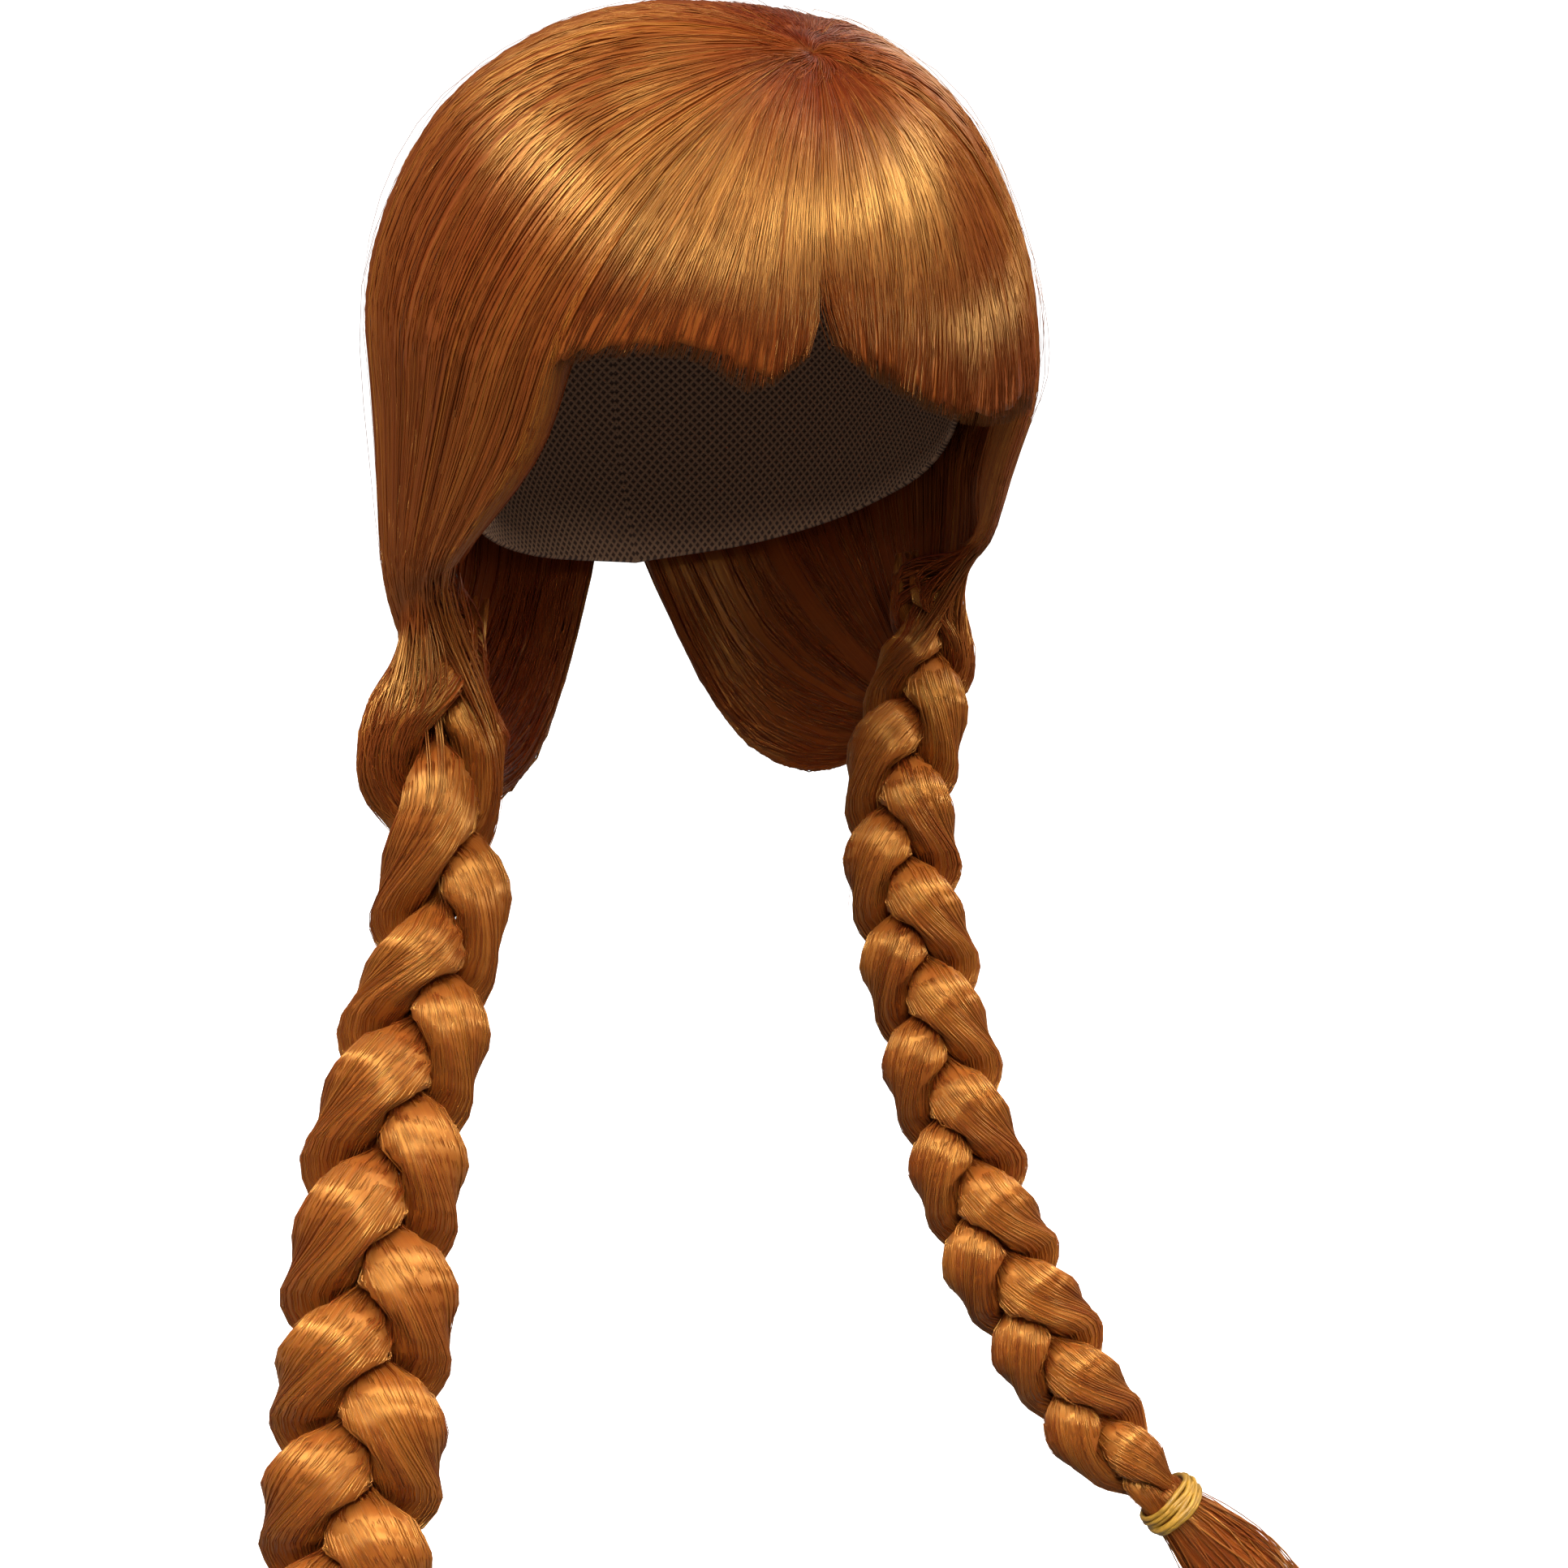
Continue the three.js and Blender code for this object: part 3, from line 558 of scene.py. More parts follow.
def body_mesh(panel, nu, nv, last, nodes, edge=None):
    """The smooth body of hair under the fibres, as thick as its solid."""
    us = np.concatenate([np.linspace(START / panel.share, 0.14, 8)[:-1], np.linspace(0.14, last, nu - 6)])
    seam = SEAM / panel.width(us)
    u, j = np.meshgrid(us, np.arange(nv + 1), indexing="ij")
    v = seam[:, None] + (1 - 2 * seam[:, None]) * (j / nv)
    if edge is not None:
        u = u[0, 0] + (u - u[0, 0]) * (edge(v) - u[0, 0]) / (last - u[0, 0])
    outside, _ = panel.outer(u, v, 0.0 * u)
    inside = panel.inner(u, v)
    i = np.broadcast_to(np.arange(len(us))[:, None], u.shape)
    n = len(us) - 1
    # the inside face gets tone 0.3 against 0.5 outside: painted shade on the hair facing the head; both faces are
    # darker near their start at the crown
    flow = [np.stack([v * panel.full, u * panel.length, tone * (0.5 + 0.5 * step(0.0, 0.16, u))], -1) for tone in (0.5, 0.3)]
    uv = [grid_uv(i, j, n, nv, side) for side in (0, 1)]
    at = lambda side, a, b: side * (n + 1) * (nv + 1) + a * (nv + 1) + b
    a, b = np.meshgrid(np.arange(n), np.arange(nv), indexing="ij")
    quads = [
        np.stack([at(0, a, b), at(0, a + 1, b), at(0, a + 1, b + 1), at(0, a, b + 1)], -1).reshape(-1, 4),
        np.stack([at(1, a, b), at(1, a, b + 1), at(1, a + 1, b + 1), at(1, a + 1, b)], -1).reshape(-1, 4),
    ]
    k = np.arange(n)
    quads.append(np.stack([at(0, k, 0), at(1, k, 0), at(1, k + 1, 0), at(0, k + 1, 0)], -1))
    quads.append(np.stack([at(0, k, nv), at(0, k + 1, nv), at(1, k + 1, nv), at(1, k, nv)], -1))
    k = np.arange(nv)
    quads.append(np.stack([at(0, 0, k), at(0, 0, k + 1), at(1, 0, k + 1), at(1, 0, k)], -1))
    quads.append(np.stack([at(0, n, k), at(1, n, k), at(1, n, k + 1), at(0, n, k + 1)], -1))
    obj = make_mesh(
        panel.name + "_body",
        np.concatenate([outside.reshape(-1, 3), inside.reshape(-1, 3)]),
        np.concatenate(quads),
        [],
        np.concatenate([f.reshape(-1, 3) for f in flow]),
        np.concatenate([x.reshape(-1, 2) for x in uv]),
        HAIR_EDGE,
    )
    return finish_piece(obj, "hair", *nodes)


def tones(rng, x, y, seed, count, light=0.5):
    """Tone of each fibre: broad bands of shade, with odd light and dark fibres among them."""
    t = light + 0.16 * noise(x / 18, y / 50, seed) + 0.14 * noise(x / 4.5, y / 50, seed + 1) + rng.normal(0, 0.11, count)
    t = t + np.where(rng.random(count) < 0.05, 0.22, 0) - np.where(rng.random(count) < 0.05, 0.2, 0)
    return np.clip(t, 0.02, 0.98)


def lay(panel, count, share, half, ends, converge, nodes, tip, under=0.0, wander=1.6):
    """Fibres laid down a panel. ends gives each fibre's last u; converge draws them into points at their ends."""
    rng = np.random.default_rng(panel.seed * 7 + 3)
    v0 = panel.spread(rng, count)
    u0 = START / panel.share + 0.09 * rng.random(count) ** 2
    u1 = ends(rng, v0)
    share = share[None, :]
    u = u0[:, None] + (u1 - u0)[:, None] * share
    w = panel.full
    drift = wander / w * (
        noise(v0[:, None] * w / 3 + 40, u * panel.length / 75, panel.seed + 11)
        + 0.7 * noise(rng.random(count)[:, None] * 200, u * panel.length / 60, panel.seed + 12)
    )
    v = v0[:, None] + drift * step(0.0, 0.3, u)
    v = converge(rng, v0, v, share)
    lift = rng.random(count) ** 1.6 * 0.62 - 0.02
    if under:
        low = rng.random(count) < under
        lift = np.where(low, -1.8 * rng.random(count), lift)
    height = lift[:, None] + 0.16 * noise(rng.random(count)[:, None] * 150, u * panel.length / 45, panel.seed + 13)
    height = height - 0.6 * (1 - step(0, 0.06, share)) - 0.5 * step(0.86, 1, share)
    if panel.sign:
        height = height - 2.4 * step(0.965, 1.0, u) * rng.random(count)[:, None]
    line, d = panel.outer(u, v, height)
    size = half * (0.75 + 0.6 * rng.random(count))
    narrow = np.clip(panel.width(u) / (0.45 * w), 0.35, 1)
    shape = size[:, None] * narrow * (0.25 + 0.75 * step(0, 0.05, share)) * (1 - tip[1] * step(tip[0], 1.0, share))
    t = tones(rng, v0 * w, np.zeros(count), panel.seed + 20, count)
    # darker at the whorl; towards the fringe's ends the tone is darkened as painted shade, for the hanging ends that
    # face away from the light above
    whorl_dark_and_painted_shade = 0.62 + 0.38 * step(0.0, 50 / panel.length, share)
    if not panel.sign:
        # painted shade on the fringe's lower ends
        whorl_dark_and_painted_shade = whorl_dark_and_painted_shade * (1 - 0.66 * step(0.45, 0.9, share))
    obj = fibres(panel.name + "_fibres", line, d, shape, v0 * w, t, HAIR_CROWN, whorl_dark_and_painted_shade)
    return finish_piece(obj, "hair", *nodes)


lock_rows = lambda table: np.stack([direction(np.array(a, float), np.array(p, float)) for a, p in table])
share = 12 / 18
steps = np.arange(13)
fringe_locks = np.stack(
    [sweep(lock_rows(SWEEP_RIGHT)[0], steps / 18 * 5)]
    + [sweep(rows, steps / 12 * 4) for rows in lock_rows(FRINGE)]
    + [sweep(lock_rows(SWEEP_LEFT)[0], steps / 18 * 5)]
)
right_side = Panel("right_side_hair", lock_rows(SWEEP_RIGHT), 1.0, SIDE_WALL, -1, ((0.3, 3.0, 7.0, 0.60, 0.72), (1.6, 4.0, 7.0, 0.55, 0.72)), 11, 290.0)
left_side = Panel("left_side_hair", lock_rows(SWEEP_LEFT), 1.0, SIDE_WALL, 1, ((2.2, 3.5, 6.0, 0.60, 0.72), (1.6, 4.0, 7.0, 0.55, 0.72)), 31, 290.0)
fringe = Panel("fringe", fringe_locks, share, FRINGE_WALL, 0, ((0.3, 3.0, 0.0, 2.0, 3.0), (2.2, 3.5, 0.0, 2.0, 3.0)), 51, 128.0)


def side_ends(rng, v0):
    return 0.993 + 0.014 * rng.random(len(v0)) - 0.03 * rng.random(len(v0)) ** 4


def side_points(rng, v0, v, share):
    # the hair at the face edge hangs a little loose
    loose = np.exp(-v0 / 0.035)[:, None] * (rng.random(len(v0)) * 1.5 - 0.9)[:, None] * 0.011
    return v - loose * step(0.25, 0.8, share) * (1 - step(0.9, 1.0, share))


NOTCH = 0.498


def fringe_edge(v):
    return 0.03 * noise(v * 17, 0 * v, 71) + 0.03 * noise(v * 45, 0 * v, 72)


def long_points(v):
    """Where single locks of the fringe hang lower than the rest."""
    return sum(share * np.exp(-(((v - at) / wide) ** 2)) for at, wide, share in ((0.02, 0.045, 1.1), (0.17, 0.022, 0.8), (0.31, 0.018, 0.8), (0.395, 0.024, 1.0), (0.60, 0.03, 0.7), (0.70, 0.02, 0.8), (0.80, 0.025, 0.7)))


def fringe_ends(rng, v0):
    n = len(v0)
    wisp = step(0.15, 0.75, noise(v0 * 34, 0 * v0, 75)) * (rng.random(n) < 0.6)
    ends = 1.04 + 0.6 * fringe_edge(v0) - 0.14 * rng.random(n) ** 1.9 + 0.07 * wisp * rng.random(n)
    return ends + 0.055 * long_points(v0) * rng.random(n) ** 0.6


def fringe_points(rng, v0, v, share):
    centres = np.sort(rng.random(42))
    which = np.argmin(np.abs(v0[:, None] - centres[None, :]), 1)
    near = centres[which]
    pull = (0.42 * rng.random(42))[which]
    slant = 0.012 * noise(v0 * 9, np.zeros(len(v0)), 73)
    aside = v0 - NOTCH
    apart = 0.052 * np.sign(aside) * np.exp(-np.abs(aside) / 0.066) * (0.75 + 0.3 * rng.random(len(v0)))
    v = v + ((near - v0) * pull * np.abs(np.tanh(aside / 0.04)) + slant + rng.normal(0, 0.003, len(v0)))[:, None] * step(0.66, 1.0, share)
    return v + apart[:, None] * step(0.76, 1.02, share)


for panel in (right_side, left_side):
    body_mesh(panel, 64, 72, 0.99, [panel.name])
    lay(panel, 740, np.append(np.linspace(0, 0.93, 17), (0.96, 0.98, 1.0)), 0.3, side_ends, side_points, [panel.name], (0.95, 0.7))
body_mesh(fringe, 40, 120, 0.95, ["fringe"], lambda v: 0.95 + 0.6 * fringe_edge(v) + 0.03 * np.exp(-((v / 0.05) ** 2)) - 0.17 * np.exp(-(((v - NOTCH) / 0.028) ** 2)))
lay(fringe, 2200, np.linspace(0, 1, 11), 0.2, fringe_ends, fringe_points, ["fringe"], (0.84, 0.8), under=0.3)


def edge_fibres(panel, at_end, count, first, nodes):
    """Fibres over the thickness of a panel's free edge."""
    rng = np.random.default_rng(panel.seed + 60 + at_end)
    share = np.linspace(0, 1, 12)[None, :]
    u = first - 0.06 * rng.random(count)[:, None] + (1.0 - first) * share
    deep = rng.random(count)[:, None] + 0.25 * noise(rng.random(count)[:, None] * 90, share * 3, panel.seed + 61)
    out = -0.35 * np.sin(np.pi * np.clip(deep, 0, 1)) - 0.3 + 0.9 * rng.random(count)[:, None]
    v = (out / panel.width(u)) if not at_end else 1 - out / panel.width(u)
    high, d = panel.outer(u, v, 0.1)
    low = panel.inner(u, v)
    deep = np.clip(deep, -0.05, 1.1)[..., None]
    line = high * (1 - deep) + low * deep
    middle, _ = panel.outer(u, np.full_like(v, 0.12 if not at_end else 0.88), -3.0)
    up = unit(line - middle) + d * (0.6 - deep)
    shape = 0.26 * (0.7 + 0.6 * rng.random(count))[:, None] * (0.2 + 0.8 * step(0, 0.1, share)) * (1 - 0.85 * step(0.85, 1, share))
    t = tones(rng, deep[:, 0, 0] * 9, np.zeros(count), panel.seed + 63, count, 0.48)
    name = panel.name + ("_nape_edge_fibres" if at_end else "_face_edge_fibres")
    finish_piece(fibres(name, line, up, shape, deep[:, 0, 0] * 9, t, HAIR_EDGE), "hair", *nodes)


def roll_fibres(panel, count, nodes):
    """Fibres round the roll of a side panel's face edge, evenly over its curve."""
    rng = np.random.default_rng(panel.seed + 70)
    share = np.linspace(0, 1, 10)[None, :]
    u = 0.42 + 0.16 * rng.random(count)[:, None] + (0.985 - 0.42 - 0.16 * rng.random(count)[:, None]) * share
    u = np.minimum(u, 0.992)
    bend = 1.15 * (np.arange(count) + rng.random(count))[:, None] / count + 0.05 * noise(rng.random(count)[:, None] * 90, u * 5, panel.seed + 71)
    far = 12.0 * (1 - np.cos(np.clip(bend, 0.02, 1.4)))
    line, d = panel.outer(u, far / panel.width(u), 0.05 + 0.4 * rng.random(count)[:, None])
    beside, _ = panel.outer(u, (far + 0.8) / panel.width(u), 0.2)
    along = unit(np.gradient(line, axis=1))
    up = np.cross(beside - line, along)
    up = unit(up * np.sign((up * d).sum(-1, keepdims=True)) + 0.3 * d)
    shape = 0.30 * (0.7 + 0.6 * rng.random(count))[:, None] * (0.2 + 0.8 * step(0, 0.1, share)) * (1 - 0.85 * step(0.85, 1, share))
    t = tones(rng, bend[:, 0] * 14, np.zeros(count), panel.seed + 73, count, 0.5)
    finish_piece(fibres(panel.name + "_face_roll_fibres", line, up, shape, bend[:, 0] * 14, t, HAIR_EDGE), "hair", *nodes)


def inner_fibres(panel, count, v_range, u_range, nodes):
    """Fibres on the inside of a side panel, where the openings show it."""
    rng = np.random.default_rng(panel.seed + 80)
    v0 = v_range[0] + (v_range[1] - v_range[0]) * rng.random(count)
    v0 = np.where(rng.random(count) < 0.16, 1 - 0.1 * rng.random(count), v0)
    share = np.linspace(0, 1, 9)[None, :]
    u = u_range[0] + 0.1 * rng.random(count)[:, None] + (u_range[1] - u_range[0] - 0.1) * share
    v = v0[:, None] + 0.012 * noise(v0[:, None] * 60, u * 4, panel.seed + 81)
    line = panel.inner(u, v, -0.05 - 0.35 * rng.random(count)[:, None])
    shape = 0.50 * (0.7 + 0.6 * rng.random(count))[:, None] * (1 - 0.8 * step(0.8, 1, share)) * (0.3 + 0.7 * step(0, 0.1, share))
    # the inside hair gets a darker tone than the outside hair: painted shade
    t = 0.7 * tones(rng, v0 * panel.full, np.zeros(count), panel.seed + 83, count, 0.42) + 0.1
    finish_piece(fibres(panel.name + "_inner_fibres", line, -panel.way(u, v), shape, v0 * panel.full, t, HAIR_INSIDE), "hair", *nodes)


for panel in (right_side, left_side):
    edge_fibres(panel, 0, 210, 0.55, [panel.name])
    edge_fibres(panel, 1, 120, 0.60, [panel.name])
    roll_fibres(panel, 90, [panel.name])
    inner_fibres(panel, 470, (0.0, 1.0), (0.5, 0.985), [panel.name])


def strays(panel, count, rise):
    """Single hairs that have come loose and stand a little off the rest."""
    rng = np.random.default_rng(panel.seed + 90)
    v0, u0 = rng.random(count), 0.05 + 0.5 * rng.random(count)
    u1 = np.minimum(1.02, u0 + 0.25 + 0.45 * rng.random(count))
    share = np.linspace(0, 1, 11)[None, :]
    u = u0[:, None] + (u1 - u0)[:, None] * share
    v = v0[:, None] + (rng.normal(0, 0.02, count)[:, None] * share**2) + 0.006 * noise(rng.random(count)[:, None] * 90, share * 3, panel.seed + 91)
    lift = 1.2 + rise * rng.random(count)[:, None] ** 2 * np.sin(np.pi * np.minimum(1, share * 1.15)) + 0.5 * noise(rng.random(count)[:, None] * 90, share * 4, panel.seed + 92)
    line, d = panel.outer(u, np.clip(v, 0.0, 1.0), lift)
    shape = 0.13 * (1 - 0.8 * step(0.6, 1, share)) * (0.4 + 0.6 * step(0, 0.1, share)) * np.ones((count, 1))
    t = np.clip(rng.normal(0.62, 0.12, count), 0, 1)
    finish_piece(fibres(panel.name + "_stray_hairs", line, d, shape, v0 * 100, t, HAIR_FIBRE), "hair")


def whorl(count, reach):
    """Short fibres that close the centre of the crown, where the panels start."""
    rng = np.random.default_rng(97)
    centre = direction(np.array(20.0), np.array(27.0))
    one = unit(np.cross(np.array([0.0, 1.0, 0.0]), centre))
    two = np.cross(centre, one)
    a0 = (np.arange(count) + rng.random(count)) / count * 2 * np.pi
    start = 0.2 + 4.5 * rng.random(count) ** 1.5
    end = reach * (0.45 + 0.55 * rng.random(count))
    share = np.linspace(0, 1, 9)[None, :]
    far = start[:, None] + (end - start)[:, None] * share
    a = a0[:, None] + 0.55 * (1 - np.clip(far / reach, 0, 1)) ** 1.5 + 0.08 * noise(a0[:, None] * 5, share * 2, 98)
    d = unit(centre + (one * np.cos(a)[..., None] + two * np.sin(a)[..., None]) * (far / 112.0)[..., None])
    dip = 1.0 * np.exp(-((far / 5.0) ** 2))
    line = on_head(d, hair_height(d) - 0.75 + 0.75 * rng.random(count)[:, None] * step(0, 0.25, share) - dip - 0.5 * step(0.8, 1, share))
    shape = 0.21 * (0.7 + 0.6 * rng.random(count))[:, None] * (0.35 + 0.65 * step(0, 0.4, share)) * (1 - 0.85 * step(0.75, 1, share))
    t = tones(rng, a0 * 20, np.zeros(count), 99, count, 0.42)
    finish_piece(fibres("crown_fibres", line, d, shape, a0 * 20, 0.72 * t, HAIR_CROWN), "hair")


whorl(300, 24.0)
strays(right_side, 46, 4.0)
strays(left_side, 40, 4.0)
strays(fringe, 34, 3.0)


# ---- cap -----------------------------------------------------------------------------------------
def cap():
    around, down = 84, 28
    a = -180 + 360 * np.arange(around) / around
    rim = through(CAP_RIM[:, 0], CAP_RIM[:, 1], np.abs(a))
    share_down = np.linspace(0.02, 1, down)
    phi = rim[None, :] * share_down[:, None]
    d = direction(np.broadcast_to(a[None, :], phi.shape), phi)
    arc = phi * math.pi / 180 * 92
    # rows of weft stand proud on the inside, and the rim is a rolled elastic edge
    weft = 0.42 * np.exp(-(((arc % 13.0) - 6.5) / 1.1) ** 2)
    roll = np.exp(-(((1 - share_down) * 130 / 3.0) ** 2))[:, None]
    outside = on_head(d, 1.25 + 0.45 * roll)
    inside = on_head(d, 0.55 - weft * (1 - roll) - 0.45 * roll)
    rows = np.concatenate([outside, inside[::-1]])
    n = len(rows)
    i, j = np.meshgrid(np.arange(n - 1), np.arange(around), indexing="ij")
    k = (j + 1) % around
    quads = np.stack([i * around + j, i * around + k, (i + 1) * around + k, (i + 1) * around + j], -1).reshape(-1, 4)
    points = rows.reshape(-1, 3)
    top = len(points)
    points = np.concatenate([points, on_head(direction(0.0, 0.0), np.array(1.25))[None], on_head(direction(0.0, 0.0), np.array(0.55))[None]])
    j = np.arange(around)
    k = (j + 1) % around
    last = (n - 1) * around
    tris = np.concatenate([np.stack([np.full(around, top), k, j], -1), np.stack([np.full(around, top + 1), last + j, last + k], -1)])
    across = np.broadcast_to(np.abs(a[None, :]) / 360 * 540, phi.shape)
    one = np.stack([across, arc, np.full(phi.shape, 0.5)], -1)
    flow = np.concatenate([one, one[::-1]]).reshape(-1, 3)
    flow = np.concatenate([flow, [[0, 0, 0.5], [0, 0, 0.5]]])
    flat = np.stack([np.sin(np.radians(a))[None, :] * share_down[:, None], np.cos(np.radians(a))[None, :] * share_down[:, None]], -1) * 0.235 + 0.25
    flat[..., 1] *= 2
    uv = np.concatenate([flat, (flat + [0.5, 0])[::-1]]).reshape(-1, 2)
    uv = np.concatenate([uv, [[0.25, 0.5], [0.75, 0.5]]])
    return finish_piece(make_mesh("wig_cap_net", points, quads, tris, flow, uv, NET), "cap_net", "wig_cap")


cap()


# ---- plaits --------------------------------------------------------------------------------------
class Plait:
    def __init__(self, table):
        p = table[:, :3]
        pts = []
        n = len(p)
        per = 120
        for i in range(n - 1):
            a = p[i - 1] if i else 2 * p[0] - p[1]
            b, c = p[i], p[i + 1]
            d = p[i + 2] if i + 2 < n else 2 * p[-1] - p[-2]
            t0, t1, t2 = (max(np.linalg.norm(q - r) ** 0.5, 1e-4) for q, r in ((b, a), (c, b), (d, c)))
            m1 = ((b - a) / t0 - (c - a) / (t0 + t1) + (c - b) / t1) * t1
            m2 = ((c - b) / t1 - (d - b) / (t1 + t2) + (d - c) / t2) * t1
            f = (np.arange(per + (i == n - 2)) / per)[:, None]
            pts.append(b + m1 * f + (-3 * b + 3 * c - 2 * m1 - m2) * f**2 + (2 * b - 2 * c + m1 + m2) * f**3)
        self.line = np.concatenate(pts)
        far = np.concatenate([[0], np.cumsum(np.linalg.norm(np.diff(self.line, axis=0), axis=1))])
        self.length = far[-1]
        self.share = far / far[-1]
        rows = self.share[np.arange(n) * per]
        self.along = unit(np.gradient(self.line, axis=0))
        facing = np.radians(through(rows, table[:, 3], self.share))
        out = np.stack([np.sin(facing), -np.cos(facing), 0 * facing], -1)
        self.out = unit(out - self.along * (out * self.along).sum(-1, keepdims=True))
        self.right = np.cross(self.out, self.along)
        self.wide = through(rows, table[:, 4], self.share)
        self.deep = through(rows, table[:, 5], self.share)
        self.weave = np.maximum.accumulate(through(rows, table[:, 6], self.share) + 1e-7 * np.arange(len(self.share)))

    def at(self, weave):
        s = np.interp(weave, self.weave, self.share)
        pick = lambda a: np.stack([np.interp(s, self.share, a[:, k]) for k in range(3)], -1)
        one = lambda a: np.interp(s, self.share, a)
        return pick(self.line), pick(self.right), pick(self.out), pick(self.along), one(self.wide), one(self.deep)

    @staticmethod
    def centre(g, wide, deep):
        return 0.47 * wide * np.sin(g), 0.48 * deep * np.sin(2 * g)

    @staticmethod
    def turn(g):
        return np.radians(-90 + 125 * np.cos(g))

    @staticmethod
    def lie(g):
        """How far the fibres turn round their strand; they twist much less than its oval does."""
        return np.radians(36 * np.cos(g))

    def reach(self, weave, k, theta, wide, deep, gap=0.12):
        """Distance from the strand's centre line to its surface towards theta."""
        phase = 2 * np.pi * weave
        g = phase + 2 * np.pi * k / 3
        mx, my = self.centre(g, wide, deep)
        p, q = 0.7 * wide, 0.52 * wide
        own = theta - self.turn(g)
        total = (p * q / np.hypot(q * np.cos(own), p * np.sin(own))) ** -12.0
        for o in (1, 2):
            for shift in (-0.25, 0.25):
                s = 2 * np.pi * shift / STRAND_STEPS
                ax, ay = self.centre(g + s, wide, deep)
                bx, by = self.centre(g + s + 2 * np.pi * o / 3, wide, deep)
                far = np.hypot(bx - ax, by - ay)
                nx, ny = (bx - ax) / far, (by - ay) / far
                room = np.maximum(0.5, ((ax + bx) / 2 - mx) * nx + ((ay + by) / 2 - my) * ny - gap)
                towards = np.cos(theta) * nx + np.sin(theta) * ny
                total = total + np.where(towards > 0.02, (room / np.maximum(towards, 0.02)) ** -12.0, 0)
        return total ** (-1 / 12.0)

    def surface(self, weave, k, own, above, gap=0.12):
        """Point on strand k's surface at its own angle, and the way out from the strand there."""
        c, right, out, along, wide, deep = self.at(weave)
        g = 2 * np.pi * weave + 2 * np.pi * k / 3
        theta = own + self.lie(g)
        r = (self.reach(weave, k, theta, wide, deep, gap) + above) * (0.3 + 0.7 * step(0.1, 0.26, weave - self.weave[0]))
        x, y = self.centre(g, wide, deep)
        way = right * np.cos(theta)[..., None] + out * np.sin(theta)[..., None]
        return c + right * x[..., None] + out * y[..., None] + way * r[..., None], way


def strand_body(plait, name, k, node):
    lo, hi = plait.weave[0] + 0.1, plait.weave[-1]
    rings = int((hi - lo) * 46)
    sides = 24
    weave = np.linspace(lo, hi, rings + 1)
    w, j = np.meshgrid(weave, np.arange(sides), indexing="ij")
    own = 2 * np.pi * j / sides
    p, _ = plait.surface(w, float(k), own, -0.3 + 0.35 * noise(own * 2.2, w * 2, 700 + k))
    points = p.reshape(-1, 3)
    a, b = np.meshgrid(np.arange(rings), np.arange(sides), indexing="ij")
    c = (b + 1) % sides
    quads = np.stack([a * sides + b, a * sides + c, (a + 1) * sides + c, (a + 1) * sides + b], -1).reshape(-1, 4)
    fan = np.arange(1, sides - 1)
    last = rings * sides
    tris = np.concatenate([np.stack([0 * fan, fan + 1, fan], -1), np.stack([0 * fan + last, last + fan, last + fan + 1], -1)])
    circle = 2 * np.pi * 0.55 * plait.wide.max()
    x = np.abs(own - np.pi) / np.pi * circle / 2  # mirrored, so that it has no seam
    # tone 0.64, lighter than the head's hair body: painted light for the stronger light the plaits catch
    flow = np.stack([x, (w - lo) * 90, np.full(w.shape, 0.64)], -1).reshape(-1, 3)
    uv = np.stack([0.02 + 0.96 * np.abs(own - np.pi) / np.pi, 0.02 + 0.96 * (w - lo) / (hi - lo)], -1).reshape(-1, 2)
    obj = make_mesh(name + "_body", points, quads, tris, flow, uv, HAIR_BODY)
    finish_piece(obj, "hair", node)


def strand_fibres(plait, name, k, count, half, node, seed):
    rng = np.random.default_rng(seed)
    lo, hi = plait.weave[0] + 0.1, plait.weave[-1]
    n = int((hi - lo) * 22)
    own0 = (np.arange(count) + rng.random(count)) / count * 2 * np.pi
    start = lo + 0.02 * rng.random(count)
    end = hi - 0.03 * rng.random(count)
    share = np.linspace(0, 1, n + 1)[None, :]
    w = start[:, None] + (end - start)[:, None] * share
    own = own0[:, None] + 0.05 * noise(rng.random(count)[:, None] * 90, w * 3.0, seed + 1) + 0.03 * noise(own0[:, None] * 4, w * 2.2, seed + 2)
    lift = -0.24 + 0.42 * rng.random(count) ** 1.6
    height = lift[:, None] + 0.14 * noise(rng.random(count)[:, None] * 90, w * 5, seed + 3) + 0.35 * noise(own * 2.2, w * 2, 700 + k)
    line, up = plait.surface(w, float(k), own, height)
    _, _, _, _, wide, _ = plait.at(w)
    size = half * (0.7 + 0.6 * rng.random(count))[:, None] * np.clip(wide / plait.wide.max(), 0.45, 1)
    shape = size * (0.3 + 0.7 * step(0, 0.03, share)) * (1 - 0.6 * step(0.96, 1, share))
    # a lighter tone than the head's fibres: painted light for the stronger light the plaits catch
    t = tones(rng, own0 * 12, np.zeros(count), seed + 9, count, 0.70)
    obj = fibres(name + "_fibres", line, up, shape, own0 * 12, t, HAIR_FIBRE)
    finish_piece(obj, "hair", node)


def plait_strays(plait, name, count, seed):
    rng = np.random.default_rng(seed)
    lo, hi = plait.weave[0] + 0.25, plait.weave[-1] - 0.15
    w0 = lo + (hi - lo) * rng.random(count)
    share = np.linspace(0, 1, 9)[None, :]
    w = w0[:, None] + share * (0.10 + 0.22 * rng.random(count))[:, None]
    w = np.minimum(w, plait.weave[-1])
    own = rng.random(count)[:, None] * 2 * np.pi + rng.normal(0, 0.35, count)[:, None] * share**2
    k = np.floor(rng.random(count) * 3)[:, None]
    above = 0.1 + (0.8 + 3.2 * rng.random(count)[:, None] ** 2) * share**1.6
    line, up = plait.surface(w, k, own, above)
    shape = 0.12 * (1 - 0.85 * step(0.5, 1, share)) * np.ones((count, 1))
    t = np.clip(rng.normal(0.6, 0.12, count), 0, 1)
    finish_piece(fibres(name, line, up, shape, own[:, 0] * 12, t, HAIR_FIBRE), "hair")


def end_of(plait):
    return plait.line[-1], plait.along[-1], plait.right[-1], plait.out[-1]


